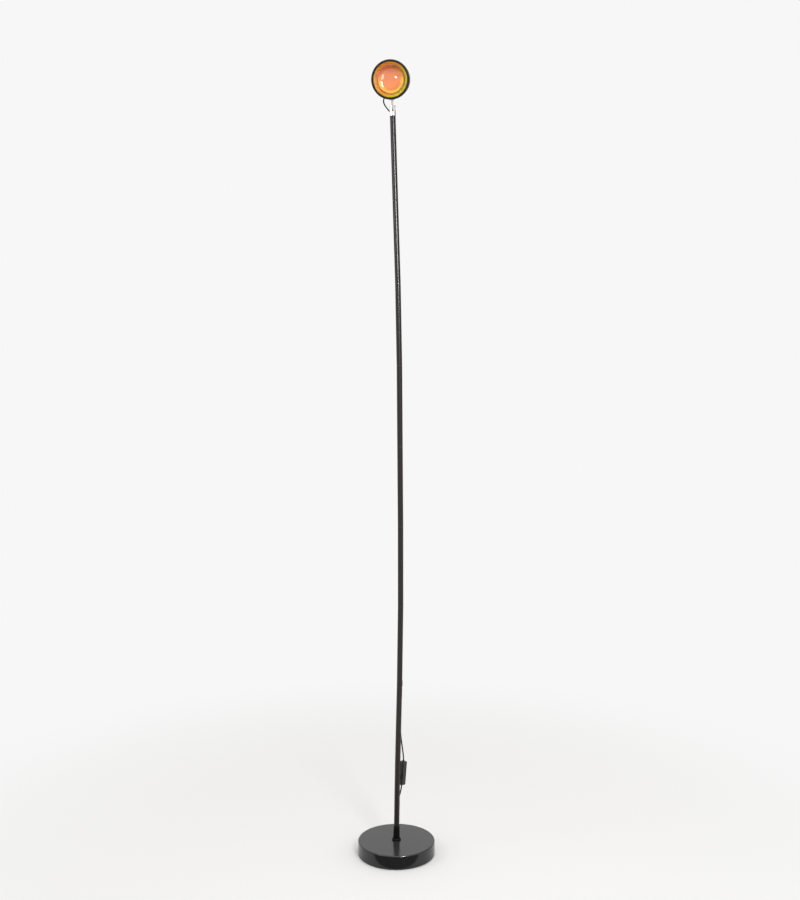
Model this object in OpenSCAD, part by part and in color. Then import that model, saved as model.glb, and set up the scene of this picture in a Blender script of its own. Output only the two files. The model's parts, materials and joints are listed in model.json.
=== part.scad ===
// Sunset projection lamp on a tall, slim floor stand.
// Millimetres, +Z up, origin on the floor at the centre of the round base.
// The lamp faces -Y. Its pole is nine short tubes screwed end to end, and each
// leans a little, so that the pole bows.

/* [Base] */
// Diameter of the round base
base_d = 180; // [140:1:240]
// Height of the base above the floor
base_h = 33; // [30:0.5:45]
// Wall of the pressed steel cover
cover_t = 1.2; // [0.8:0.1:2]
// Radius of the cover's top edge
cover_edge_r = 2.5; // [2.2:0.1:4]
// Thickness of the cast iron disc
weight_t = 16; // [10:0.5:17]
// Width of the rim that the iron disc stands on
weight_rim_w = 8; // [4:0.5:20]
// Chamfer round the top of the iron disc
weight_chamfer = 1.6; // [1.5:0.1:3]
// Thickness of the steel bottom plate
plate_t = 1.2; // [0.8:0.1:2]
// Thickness of the foam pad under the base
pad_t = 2; // [1.5:0.1:3]
// Distance from the cover's side to the pad's edge
pad_inset = 4; // [2:0.5:12]
// Height of the cover's lower edge above the floor
cover_lift = 1.5; // [1:0.1:1.5]

/* [Foot] */
// Diameter of the threaded rod that holds pole and base together
rod_d = 10; // [8:0.1:10.2]
// Length of the rod inside the lowest tube
rod_reach = 18; // [12:1:20]
// Diameter of the washer under the iron disc
washer_d = 28; // [20:0.5:40]
// Thickness of the washer
washer_t = 2; // [1:0.1:3]
// Width across the flats of the nut
nut_flats = 17; // [14:0.5:19]
// Thickness of the nut
nut_t = 5.5; // [4:0.1:6]
// Diameter of the collar that clamps the cover
collar_d = 21; // [17:0.5:40]
// Height of the collar
collar_h = 4.5; // [3:0.1:10]
// Radius of the collar's top edge
collar_edge_r = 1.4; // [0.5:0.1:2]
// Height of the tapered socket round the foot of the pole
socket_h = 29; // [15:1:60]
// Wall of the socket at its foot
socket_foot_t = 1.15; // [0.8:0.05:2]
// Wall of the socket at its lip
socket_lip_t = 0.4; // [0.3:0.05:0.8]

/* [Pole] */
// Outside diameter of the tubes
pole_d = 12.7; // [12:0.1:16]
// Wall of the tubes
pole_t = 1; // [0.8:0.05:1.2]
// Length from one joint of the pole to the next
section_l = 184.5; // [150:0.1:220]
// Sideways lean of each tube from the foot up, in degrees
section_lean = [-0.95, -1.35, -0.75, 0.05, 0.4, 0.4, 1.05, 1.8, 1.75];
// Chamfer on both ends of a tube
tube_chamfer = 0.3; // [0.1:0.05:0.5]
// Length of the threaded connector in each joint
stud_l = 40; // [20:1:50]
// Bore of the connectors, for the cable
stud_bore_d = 6.5; // [4.5:0.1:8]

/* [Cord outlet] */
// Joint that the cord comes out at, counted from the foot
outlet_joint = 2; // [1:1:7]
// Direction that the cord leaves in, from +X towards the back, in degrees
outlet_turn = 66; // [60:1:72]
// Width of the rubber outlet
outlet_w = 9; // [7:0.1:11]
// Length of the rubber outlet
outlet_l = 19; // [15:0.5:25]
// Height above the joint at which the cable turns out of the pole
outlet_bend_h = 13.6; // [12:0.1:16]

/* [Swivel] */
// Thickness of the flange of the bush in the top tube
bush_flange_t = 1; // [0.6:0.1:2]
// Length of the bush inside the tube
bush_l = 14; // [8:0.5:25]
// Thickness of the plastic washer that the fork turns on
glide_t = 0.5; // [0.3:0.05:1]
// Diameter of the hollow spindle that the fork turns on
spindle_d = 8; // [6:0.1:8.6]
// Bore of the spindle, for the cable
spindle_bore_d = 4.2; // [3.6:0.1:5]
// Length of the spindle inside the fork
spindle_grip = 2.6; // [1.5:0.1:3]
// Height of the lock nut under the bush
lock_nut_h = 4; // [3:0.1:8]
// Diameter of the fork
fork_d = 13.5; // [13:0.1:18]
// Height of the fork
fork_h = 22; // [20:0.5:30]
// Height of the hinge pin below the top of the fork
pin_drop = 7; // [6:0.1:8]
// Turn of the lamp head about the pole, in degrees
head_pan = -4; // [-60:1:60]
// Direction of the lead's hole in the fork, from +X towards the back, in degrees
lead_hole_turn = 110; // [95:1:130]
// Rise of the lead's hole, in degrees
lead_hole_rise = 20; // [10:1:25]
// Height of the middle of the lead's hole above the foot of the fork
lead_hole_h = 5; // [4.6:0.1:5.5]

/* [Hinge] */
// Thickness of the tongue in the fork
tongue_t = 3.8; // [3:0.1:5]
// Width of the tongue
tongue_w = 8.6; // [6:0.1:9.2]
// Radius of the tongue's eye
eye_r = 5; // [4:0.1:5.2]
// Thickness of each friction washer
friction_t = 0.5; // [0.3:0.05:0.8]
// Diameter of the hinge screw
hinge_screw_d = 4; // [3:0.1:5]
// Diameter of the hinge screw's head
hinge_head_d = 7; // [6:0.1:7.6]
// Height of the hinge screw's head
hinge_head_h = 1.8; // [1:0.1:2]
// Width across the flats of the hinge nut
hinge_nut_flats = 7; // [6:0.1:7.2]
// Height of the hinge nut
hinge_nut_h = 2; // [1:0.1:2.2]
// Depth of the pockets for head and nut
pocket_depth = 2.4; // [2.3:0.1:2.8]
// Length of the tongue from the hinge to its foot
neck_l = 18.75; // [16:0.25:40]
// Width of the tongue's foot
saddle_w = 10; // [8:0.5:14]
// Thickness of the tongue's foot in its middle
saddle_t = 3; // [2:0.1:4]
// Diameter of the heads of the screws in the tongue's foot
screw_head_d = 4.4; // [4:0.1:4.8]

/* [Lamp head] */
// Wall of the front ring where it goes over the can
bezel_t = 1.7; // [1:0.1:4]
// Width of the lip of the front ring
lip_w = 5.1; // [3:0.1:8]
// Thickness of the lip of the front ring
lip_t = 2; // [1:0.1:3]
// Distance from the hinge to the face of the front ring
face_reach = 30; // [26:0.5:45]
// Outside diameter of the lamp can
can_d = 80.5; // [78:0.5:81]
// Wall of the lamp can
can_t = 1.6; // [1.2:0.1:2.4]
// Distance from the hinge to the back of the lamp can
can_back = 26; // [22:0.5:40]
// Downward tilt of the lamp head, in degrees
head_tilt = 13; // [-60:1:60]
// Length of the rear cap
cap_l = 16; // [14:0.5:30]
// Wall of the rear cap
cap_t = 2; // [1.5:0.1:3]
// Radius of the rear cap's edge
cap_edge_r = 6; // [3:0.5:10]
// Length of the rear cap's spigot
spigot_l = 4; // [3.4:0.1:5]
// Number of air slots in the rear cap
slot_count = 5; // [1:2:7]
// Width of an air slot
slot_w = 3; // [2:0.1:4]
// Distance from one air slot to the next
slot_pitch = 9; // [6:0.1:9]
// Length of the middle air slot
slot_l = 46; // [30:1:56]
// Place of the lead's grommet round the can, from straight down, in degrees
lead_side = 25; // [15:1:40]
// Place of the lead's grommet behind the hinge
lead_back = 8; // [7.6:0.1:9]
// Diameter of the grommet's flange
grommet_d = 7; // [6:0.1:9]
// Diameter of the grommet's neck in the can
grommet_neck_d = 4.9; // [4.6:0.1:5.5]
// Thickness of the grommet's flange
grommet_t = 1.4; // [1:0.1:2]

/* [Optics] */
// Thickness of the coated glass disc
filter_t = 1.5; // [1:0.1:2]
// Thickness of the lens flange
flange_t = 2; // [1.5:0.1:3]
// Width of the flat rim round the lens dome
dome_rim_w = 4; // [2:0.5:8]
// Height of the lens dome
dome_h = 10; // [6:0.5:13]
// Length of the bright cone in front of the lens flange
cone_l = 11.4; // [8:0.1:12]
// Step inwards from the front ring's opening to the foot of the bright cone
cone_step = 4.9; // [2:0.1:6]
// Diameter of the reflector's throat
throat_d = 18; // [15:0.5:26]
// Wall of the reflector
reflector_t = 1; // [0.8:0.1:1.5]
// Diameter of the light source's board
board_d = 30; // [24:0.5:36]
// Thickness of the board
board_t = 1.6; // [1:0.1:2]
// Diameter of the light source
chip_d = 13; // [8:0.5:14]
// Height of the light source
chip_h = 1.2; // [0.8:0.1:1.4]
// Diameter of the two wires to the board
wire_d = 1.1; // [0.8:0.1:1.2]
// Distance from the hinge back to the face of the heat sink
sink_face = 14.6; // [13:0.1:15]
// Thickness of the heat sink's plate
sink_t = 4; // [3:0.1:6]
// Length of the heat sink's fins
fin_l = 17; // [8:0.5:18]
// Thickness of a fin
fin_t = 1.5; // [1:0.1:2.5]
// Distance from one fin to the next
fin_pitch = 7.5; // [5:0.1:10]
// Number of fins
fin_count = 9; // [3:2:9]

/* [Switch] */
// Length of the switch on the cord
switch_l = 56.5; // [45:0.5:70]
// Width of the switch
switch_w = 14; // [13:0.1:18]
// Depth of the switch
switch_t = 10.5; // [10:0.1:14]
// Wall of the switch's case
switch_wall = 1.2; // [1:0.1:1.5]
// Radius of the case's corners
switch_corner_r = 2.5; // [1:0.1:4]
// Length of the rocker
rocker_l = 25.4; // [18:0.1:27]
// Width of the rocker
rocker_w = 8.2; // [6:0.1:8.6]
// Lean of each half of the rocker, in degrees
rocker_lean = 6; // [4:0.5:8]
// Diameter of the rocker's pivots
pivot_d = 2.4; // [1.6:0.1:3]
// Depth of the rocker's pivots below the case's face
pivot_depth = 2.7; // [2.5:0.1:3]
// Length of the brass contacts
contact_l = 28; // [20:1:36]
// Width of the brass contacts
contact_w = 2.4; // [1.5:0.1:3]
// Solid length at each end of the case
switch_end_l = 9; // [7:0.5:10]

/* [Cords] */
// Diameter of the cord outside the pole
cord_d = 3.2; // [2.8:0.1:3.3]
// Diameter of the lead between head and pole, and of the cable inside the pole
lead_d = 3; // [2.6:0.1:3.2]
// Length of the straight runs in the hank
hank_run = 62; // [48:1:64]
// Radius of the innermost fold in the hank
fold_r = 9.6; // [9.6:0.1:12]
// Turns in each of the hank's two layers
hank_turns = 3; // [2:1:3]
// Distance from one lane of the hank to the next
lane_step = 3.85; // [3.8:0.05:4.2]
// Height from one layer of the hank to the next
layer_step = 3.7; // [3.7:0.05:4.2]
// Distance that the tie draws each side of the hank in
waist_in = 5; // [0:0.5:5]
// Thickness of the tie
tie_t = 0.8; // [0.5:0.1:1.2]
// Width of the tie
tie_w = 8; // [4:0.5:12]
// Radius of the corners inside the tie
tie_corner_r = 1; // [0.5:0.1:1.5]

/* [Plug] */
// Length of the plug's moulded grip
grip_l = 20; // [16:0.5:30]
// Width of the grip
grip_w = 15.5; // [14:0.5:18]
// Height of the grip
grip_h = 7.5; // [7:0.1:9]
// Radius of the grip's corners
grip_r = 2; // [1:0.1:3]
// Length of the plug's tapered collar
sleeve_l = 8; // [5:0.5:20]
// Length of the metal shell
shell_l = 12; // [11.5:0.1:12.5]
// Width of the metal shell
shell_w = 12; // [11.9:0.05:12.1]
// Height of the metal shell
shell_h = 4.5; // [4.4:0.05:4.6]
// Wall of the metal shell
shell_t = 0.3; // [0.25:0.05:0.4]

/* [Fits] */
// Gap all round a part that slides in when the lamp is put together
slip_gap = 0.25; // [0.2:0.01:0.3]
// Gap all round a screw, rod or spindle in its hole
thread_gap = 0.05; // [0.03:0.01:0.08]
// Gap between the ends of two tubes
seam_gap = 0.25; // [0.22:0.01:0.3]
// Gap between faces that turn on each other
run_gap = 0.05; // [0.04:0.01:0.1]
// Gap round parts that are seated but not fitted tightly
seat_gap = 0.3; // [0.2:0.01:0.4]

/* [Hidden] */
$fn = 64;
small = 0.01;
base_r = base_d / 2;
cover_top = base_h;
cover_inner_r = base_r - cover_t;
plate_top = pad_t + plate_t;
weight_top = base_h - cover_t;
weight_foot = weight_top - weight_t;
weight_r = cover_inner_r - slip_gap;
rod_bottom = weight_foot - washer_t - nut_t - 1;
rod_hole_d = rod_d + 2 * slip_gap;
foot_top = base_h + collar_h;
section_count = len(section_lean);
pole_bore_d = pole_d - 2 * pole_t;
stud_d = pole_bore_d - 2 * slip_gap;
socket_bore_d = pole_d + 2 * slip_gap;

// A point of the pole's centreline, in the XZ plane: the joint above tube k
function joint(k) = k < 1
    ? [0, foot_top]
    : joint(k - 1) + section_l * [-sin(section_lean[k - 1]), cos(section_lean[k - 1])];

// Swivel, along the top tube from its upper end
fork_foot = bush_flange_t + glide_t + run_gap;
fork_top = fork_foot + fork_h;
pin_h = fork_top - pin_drop;
slot_floor = pin_h - eye_r - 0.6;
fork_slot_w = tongue_t + 2 * friction_t + 4 * run_gap;
bush_d = pole_bore_d - 2 * thread_gap;
spindle_foot = -bush_l - lock_nut_h - 2;
lead_hole_z = fork_foot + lead_hole_h;
lead_hole_d = lead_d + 0.4;

// Lamp head, along its own axis from the hinge: +Z is the way the light goes
can_r = can_d / 2;
can_inner_r = can_r - can_t;
saddle_pitch = tongue_w + screw_head_d + 2 * slip_gap;
saddle_l = saddle_pitch + screw_head_d + 2 * slip_gap;
bezel_foot = saddle_l / 2 + seat_gap;
bezel_bore_d = can_d + 2 * thread_gap;
bezel_d = bezel_bore_d + 2 * bezel_t;
aperture_d = bezel_d - 2 * lip_w;
cone_small_d = aperture_d - 2 * cone_step;
dome_d = cone_small_d - 2 * dome_rim_w;
head_rise = can_r + saddle_t + neck_l;
lip_back = face_reach - lip_t;
stack_d = bezel_bore_d - 2 * seat_gap;
flange_front = lip_back - cone_l;
flange_back = flange_front - flange_t;
can_front = flange_back - filter_t;
cap_back = -can_back - cap_l;
spigot_d = 2 * (can_inner_r - slip_gap);
sink_d = 2 * (can_inner_r - slip_gap);
cap_screw_z = -can_back + spigot_l / 2;
chip_face = -sink_face + board_t + chip_h;
grommet_lift = 0.1;
m3_d = 2.9;
m3_hole_d = m3_d + 2 * thread_gap;

// Directions and places carried from a turned piece to the part's own axes
function unit(v) = v / norm(v);
function about_x(p, a) = [p[0], p[1] * cos(a) - p[2] * sin(a), p[1] * sin(a) + p[2] * cos(a)];
function about_y(p, a) = [p[0] * cos(a) + p[2] * sin(a), p[1], p[2] * cos(a) - p[0] * sin(a)];
function about_z(p, a) = [p[0] * cos(a) - p[1] * sin(a), p[0] * sin(a) + p[1] * cos(a), p[2]];
function on_tube(n, h) =
    [joint(n - 1)[0], 0, joint(n - 1)[1]] + about_y([0, 0, h], -section_lean[n - 1]);
function on_swivel(p) =
    on_tube(section_count, section_l) + about_y(about_z(p, head_pan), -section_lean[section_count - 1]);
function on_head(p) =
    on_swivel([0, 0, pin_h] + about_x([0, 0, head_rise] + about_x(p, 90), head_tilt));

// Switch, in its own frame: +Z is up along the cord, and the rocker faces -Y
switch_at = [14.3, 12, 189.7];
switch_tip = 4.2;
switch_turn = -45;
switch_axis = about_y([0, 0, 1], switch_tip);
switch_top = switch_at + switch_l / 2 * switch_axis;
switch_foot = switch_at - switch_l / 2 * switch_axis;
switch_half = switch_t / 2;
window_l = rocker_l + 1.4;
window_w = rocker_w + 0.5;
pivot_y = -switch_half + pivot_depth;

// Length that a cord runs straight where it meets another piece
straight_l = 3.2;

// Where the cable turns out of the pole, and where the cord outside it starts
outlet_bend = on_tube(outlet_joint + 1, outlet_bend_h);
cord_start = on_tube(outlet_joint + 1, -8.6) + [3.7, 8.4, 0];
cord_start_l = 7.6;

// The lead, from the grommet in the can to the hole in the fork
lead_exit_way = [-sin(lead_side), -cos(lead_side), 0];
lead_exit = (can_r + grommet_lift + grommet_t) * lead_exit_way - [0, 0, lead_back];
lead_start = on_head(lead_exit);
lead_start_way = unit(on_head(lead_exit + lead_exit_way) - lead_start);
fork_hole_way = [
    cos(lead_hole_rise) * cos(lead_hole_turn),
    cos(lead_hole_rise) * sin(lead_hole_turn),
    sin(lead_hole_rise)
];
fork_hole = [0, 0, lead_hole_z];
fork_exit = fork_hole + (fork_d / 2 + 0.4) / cos(lead_hole_rise) * fork_hole_way;
lead_end = on_swivel(fork_exit);
lead_end_way = unit(on_swivel(fork_exit + fork_hole_way) - lead_end);

// Hank, lying behind the base
hank_at = [0, 110.5, 0];
loop_steps = 24;
run_share = 2.5 / loop_steps;
fold_share = 7 / loop_steps;
first_turn = run_share;
last_turn = 2 * hank_turns - 0.5 + run_share;
cord_rest = cord_d / 2 + 0.05;
tie_lift = tie_t + 0.05;

// Plug, lying on the floor beside the hank
plug_at = [-50, 86.2, grip_h / 2];
plug_turn = 218;
plug_way = [cos(plug_turn), sin(plug_turn), 0];

// Share of the waist's pull at x along a run: 1 in the middle, 0 at both ends
function waist(x) = (1 + cos(360 * x / hank_run)) / 2;
function lane_r(u) = fold_r + lane_step * abs(hank_turns - u);
// Height of the layer: the upper one first, down along one run, then the lower one
function layer_z(u) =
    let (s = max(0, min(1, (hank_turns + run_share - u) / (2 * run_share))))
        cord_rest + layer_step * s * s * (3 - 2 * s);
function run_point(x, side, u) =
    [x, side * (lane_r(u) - waist_in * waist(x)), layer_z(u) + tie_lift * waist(x)];
function fold_point(side, angle, u) =
    [side * hank_run / 2 + lane_r(u) * cos(angle), lane_r(u) * sin(angle), layer_z(u)];
// Point of the hank after u turns, counted from the middle of a rear run
function hank_point(u) =
    let (p = u - floor(u), half = hank_run / 2)
        p <= run_share ? run_point(half * p / run_share, 1, u)
        : p <= run_share + fold_share ? fold_point(1, 90 - 180 * (p - run_share) / fold_share, u)
        : p <= 3 * run_share + fold_share ? run_point(half * (0.5 - p) / run_share, -1, u)
        : p <= 1 - run_share ? fold_point(-1, -90 - 180 * (p - 0.5 - run_share) / fold_share, u)
        : run_point(half * (p - 1) / run_share, 1, u);
hank_loops = [
    for (i = [0:round((last_turn - first_turn) * loop_steps)])
        hank_at + hank_point(first_turn + i / loop_steps)
];
hank_start = hank_loops[0] - [straight_l, 0, 0];
hank_end = hank_loops[len(hank_loops) - 1] - [straight_l, 0, 0];
hank_route = concat([hank_start], hank_loops, [hank_end]);

// Route of the cord from its outlet down to the switch, hanging clear of the pole
upper_hang = [
    [12, 12.3], [11.8, 12.8], [11.4, 12.8], [11, 12.7], [10.6, 12.6], [10.3, 12.5], [10, 12.4],
    [9.7, 12.3], [9.5, 12.2], [9.3, 12.1], [9.3, 12.1], [9.4, 12], [9.8, 12], [10.4, 12],
    [11.2, 12], [12.2, 12], [13.3, 12], [14.4, 12], [15.4, 12], [16.2, 12]
];
upper_drop = (cord_start[2] - switch_top[2]) / (len(upper_hang) + 2.6);
upper_route = [
    cord_start, cord_start + cord_start_l * unit(cord_start - outlet_bend),
    for (i = [0:len(upper_hang) - 1])
        [upper_hang[i][0], upper_hang[i][1], cord_start[2] - (i + 2) * upper_drop],
    switch_top + straight_l * switch_axis, switch_top
];
// Route of the cord from the switch, behind the pole, over the base and to the hank
over_base = [
    [0.9, 16.6, 39], [0.8, 18.8, 31.2], [0.6, 22.6, 23.6], [0.5, 27.5, 17],
    [0.4, 33.4, 11.4], [0.3, 40, 7.2], [0.2, 47.2, 4.2], [0.1, 55, 2.4],
    [0, 63, 1.8], [0, 71, 1.75], [0, 79, 1.8], [0, 86.8, 1.9],
    [0.1, 93.6, 0.6], [0.4, 99.5, -3]
];
lower_route = [
    switch_foot, switch_foot - straight_l * switch_axis,
    [11.3, 12, 152.6], [10, 12.1, 146], [8.2, 12.3, 138.8],
    [6.3, 12.6, 131.4], [4.7, 12.9, 123.8], [3.4, 13.2, 116], [2.5, 13.5, 108],
    [1.9, 13.8, 100], [1.5, 14.1, 92], [1.2, 14.6, 84.6], [1.0, 15.4, 78],
    for (p = over_base) p + [0, 0, base_h],
    [1.1, 104.8, 25], [2.6, 110, 20], [5.2, 115.3, 15.7], [8.6, 120.4, 12.2],
    [12.6, 125.2, 9.5], [17.4, 129.2, 7.1],
    hank_start - [straight_l, 0, 0], hank_start
];
// Route of the cord from the hank to the plug
tail_route = [
    hank_end, hank_end - [straight_l, 0, 0], [-42.4, 90.4, 2.7],
    plug_at - straight_l * plug_way, plug_at
];
// Route of the lead from the lamp head to the fork
lead_route = [
    lead_start, lead_start + straight_l * lead_start_way,
    for (p = [
        [-19.6, 3.2, 32.7], [-17.9, 5.6, 27.8], [-15.6, 7.9, 23.8],
        [-12.8, 9.8, 20.1], [-9.7, 10.9, 16.4], [-6.8, 10.9, 12.9]
    ]) on_swivel(p),
    lead_end + straight_l * lead_end_way, lead_end
];

// ---- Shared shapes ----

// A rectangle from the axis to radius r, with its upper outer corner rounded
module turned_block(r, z0, z1, edge) {
    translate([0, z0]) square([r - edge, z1 - z0]);
    translate([0, z0]) square([r, z1 - z0 - edge]);
    translate([r - edge, z1 - edge]) circle(edge);
}

module rounded_rect(w, h, r) {
    square([w - 2 * r, h], center = true);
    square([w, h - 2 * r], center = true);
    for (x = [-1, 1], y = [-1, 1])
        translate([x * (w / 2 - r), y * (h / 2 - r)]) circle(r);
}

// A tube from z0 to z1
module ring(outer_d, inner_d, z0, z1) {
    difference() {
        translate([0, 0, z0]) cylinder(d = outer_d, h = z1 - z0);
        translate([0, 0, z0 - 1]) cylinder(d = inner_d, h = z1 - z0 + 2);
    }
}

module hex_nut(flats, bore, h) {
    difference() {
        cylinder(d = flats / cos(30), h = h, $fn = 6);
        translate([0, 0, -1]) cylinder(d = bore, h = h + 2);
    }
}

// A round bar from point a to point b
module bar(a, b, d) {
    run = b - a;
    translate(a)
        rotate([0, acos(run[2] / norm(run)), atan2(run[1], run[0])])
            cylinder(d = d, h = norm(run));
}

// ---- Sweeping a cord along its route ----

// Direction of the route at each of its points
function headings(p) = [
    for (i = [0:len(p) - 1])
        unit(i == 0 ? p[1] - p[0] : i == len(p) - 1 ? p[i] - p[i - 1] : p[i + 1] - p[i - 1])
];

// A direction square to each heading, carried along without twisting
function across(t, n) = unit(n - (n * t) * t);
function sides_of(t, n) = [
    for (i = 0, v = across(t[0], n); i < len(t); i = i + 1, v = i < len(t) ? across(t[i], v) : v) v
];

module cord_along(route, d, sides, first_side) {
    t = headings(route);
    n = sides_of(t, first_side);
    rings = len(route);
    points = [
        for (i = [0:rings - 1], j = [0:sides - 1])
            route[i] + d / 2 * (cos(360 * j / sides) * n[i] + sin(360 * j / sides) * cross(t[i], n[i]))
    ];
    walls = [
        for (i = [0:rings - 2], j = [0:sides - 1])
            let (a = i * sides + j, b = i * sides + (j + 1) % sides)
                each [[a, b + sides, b], [a, a + sides, b + sides]]
    ];
    last = (rings - 1) * sides;
    ends = [for (j = [1:sides - 2]) each [[0, j, j + 1], [last, last + j + 1, last + j]]];
    polyhedron(points, concat(walls, ends));
}

function route_length(p) = sum_of([for (i = [1:len(p) - 1]) norm(p[i] - p[i - 1])]);
function sum_of(v) = v * [for (i = v) 1];
function from_segment(p, a, b) =
    let (s = max(0, min(1, (p - a) * (b - a) / ((b - a) * (b - a)))))
        norm(p - a - s * (b - a));
hank_gap = min([
    for (i = [0:len(hank_route) - 1])
        for (j = [i + loop_steps / 2:1:len(hank_route) - 2])
            from_segment(hank_route[i], hank_route[j], hank_route[j + 1])
]) - cord_d;
echo(hank_least_gap_to_itself = hank_gap);
echo(cord_lengths = [
    route_length(upper_route), route_length(lower_route),
    route_length(hank_route), route_length(tail_route), route_length(lead_route)
]);

// ---- Base ----

module base_cover() {
    color("#3a3a3c") rotate_extrude($fn = 128) difference() {
        turned_block(base_r, cover_lift, cover_top, cover_edge_r);
        translate([0, -1])
            turned_block(cover_inner_r, cover_lift, cover_top - cover_t + 1, cover_edge_r - cover_t);
        square([rod_hole_d / 2, cover_top + 1]);
    }
}

module base_weight() {
    color("#4b4843") rotate_extrude($fn = 96) polygon([
        [rod_hole_d / 2, weight_foot],
        [weight_r - weight_rim_w, weight_foot],
        [weight_r - weight_rim_w, plate_top],
        [weight_r, plate_top],
        [weight_r, weight_top - weight_chamfer],
        [weight_r - weight_chamfer, weight_top],
        [rod_hole_d / 2, weight_top]
    ]);
}

module base_plate() {
    color("#6a6c6e") translate([0, 0, pad_t]) cylinder(r = weight_r, h = plate_t, $fn = 96);
}

module base_pad() {
    color("#1d1d1d") cylinder(r = base_r - pad_inset, h = pad_t, $fn = 96);
}

module base_washer() {
    color("silver") ring(washer_d, rod_d + 2 * thread_gap, weight_foot - washer_t, weight_foot);
}

module base_nut() {
    color("silver") translate([0, 0, weight_foot - washer_t - nut_t])
        hex_nut(nut_flats, rod_d + 2 * thread_gap, nut_t);
}

module foot_rod() {
    color("silver") translate([0, 0, rod_bottom])
        cylinder(d = rod_d, h = foot_top + rod_reach - rod_bottom);
}

module foot_collar() {
    color("#202022") rotate_extrude() difference() {
        translate([0, base_h]) turned_block(collar_d / 2, 0, collar_h, collar_edge_r);
        square([rod_d / 2 + thread_gap, foot_top + 1]);
    }
}

module foot_socket() {
    bore_r = socket_bore_d / 2;
    color("#202022") at_tube(1) rotate_extrude() polygon([
        [bore_r, seam_gap],
        [bore_r + socket_foot_t, seam_gap],
        [bore_r + socket_lip_t, socket_h],
        [bore_r, socket_h]
    ]);
}

// ---- Pole ----

// Puts children on the pole's centreline, where tube n starts
module at_tube(n) {
    foot = joint(n - 1);
    translate([foot[0], 0, foot[1]]) rotate([0, -section_lean[n - 1], 0]) children();
}

// Puts children where tube n ends, leaning half way between it and the next
module at_joint(n) {
    foot = joint(n);
    translate([foot[0], 0, foot[1]]) rotate([0, -(section_lean[n - 1] + section_lean[n]) / 2, 0])
        children();
}

// Straight passage that the cord leaves the pole by
module outlet_passage(d) {
    bar(outlet_bend, outlet_bend + 2 * (cord_start - outlet_bend), d);
}

module pole_tube(n) {
    l = section_l - seam_gap;
    inner = pole_bore_d / 2;
    outer = pole_d / 2;
    c = tube_chamfer;
    color("#262524") difference() {
        at_tube(n) translate([0, 0, seam_gap / 2]) rotate_extrude() polygon([
            [inner, 0], [outer - c, 0], [outer, c], [outer, l - c], [outer - c, l], [inner, l]
        ]);
        if (n == outlet_joint || n == outlet_joint + 1) outlet_passage(cord_d + 2 * slip_gap);
    }
}

module pole_connectors() {
    color("silver") for (n = [1:section_count - 1]) difference() {
        at_joint(n) ring(stud_d, stud_bore_d, -stud_l / 2, stud_l / 2);
        if (n == outlet_joint) outlet_passage(cord_d + 2 * slip_gap);
    }
}

// Cable inside the pole, from the spindle down to the cord's outlet
module inner_cable() {
    joints = [for (n = [section_count:-1:outlet_joint + 2]) on_tube(n, 0)];
    top = on_tube(section_count, section_l + spindle_foot - seat_gap);
    color("#151515")
        cord_along(concat([top], joints, [outlet_bend, cord_start]), lead_d, 8, [1, 0, 0]);
}

// Rubber outlet, lying along the two tubes that meet under it
module cord_outlet() {
    half = outlet_l / 2 - outlet_w / 2;
    color("#151515") difference() {
        at_joint(outlet_joint) rotate([0, 0, outlet_turn]) translate([pole_d / 2, 0, 0])
            rotate_extrude() intersection() {
                union() {
                    translate([-outlet_w / 2, -half]) square([outlet_w, 2 * half]);
                    for (end = [-half, half]) translate([0, end]) circle(d = outlet_w);
                }
                translate([0, -outlet_l]) square([outlet_w, 2 * outlet_l]);
            }
        at_joint(outlet_joint) translate([0, 0, -outlet_l])
            cylinder(d = pole_d + 2 * thread_gap, h = 2 * outlet_l);
        outlet_passage(cord_d + 2 * thread_gap);
    }
}

// ---- Swivel ----

module at_pole_top() {
    foot = joint(section_count);
    translate([foot[0], 0, foot[1]]) rotate([0, -section_lean[section_count - 1], 0]) children();
}

module at_swivel() {
    at_pole_top() rotate([0, 0, head_pan]) children();
}

module top_bush() {
    bore = spindle_d + 2 * thread_gap;
    color("#262524") at_pole_top() {
        ring(pole_d, bore, 0, bush_flange_t);
        ring(bush_d, bore, -bush_l, small);
    }
}

module glide_washer() {
    color("white") at_pole_top()
        ring(pole_d, spindle_d + 2 * thread_gap, bush_flange_t, bush_flange_t + glide_t);
}

module fork() {
    color("#d8d8d8") at_swivel() difference() {
        rotate_extrude() translate([0, fork_foot]) turned_block(fork_d / 2, 0, fork_h, 0.6);
        translate([-fork_slot_w / 2, -fork_d, slot_floor])
            cube([fork_slot_w, 2 * fork_d, fork_h]);
        translate([-fork_d, 0, pin_h]) rotate([0, 90, 0])
            cylinder(d = hinge_screw_d + 2 * thread_gap, h = 2 * fork_d);
        translate([fork_d / 2 - pocket_depth, 0, pin_h]) rotate([0, 90, 0])
            cylinder(d = hinge_head_d + 2 * seat_gap, h = fork_d);
        translate([pocket_depth - fork_d / 2, 0, pin_h]) rotate([0, -90, 0])
            cylinder(d = hinge_nut_flats / cos(30) + 2 * seat_gap, h = fork_d);
        translate([0, 0, fork_foot - 1])
            cylinder(d = spindle_d + 2 * thread_gap, h = spindle_grip + 1);
        translate([0, 0, fork_foot]) cylinder(d = lead_hole_d, h = lead_hole_h);
        bar(fork_hole, fork_hole + fork_d * fork_hole_way, lead_hole_d);
        translate(fork_hole) sphere(d = lead_hole_d);
    }
}

module spindle() {
    color("silver") at_swivel() ring(spindle_d, spindle_bore_d, spindle_foot, fork_foot + spindle_grip);
}

module lock_nut() {
    color("silver") at_swivel()
        ring(stud_d, spindle_d + 2 * thread_gap, -bush_l - run_gap - lock_nut_h, -bush_l - run_gap);
}

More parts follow.
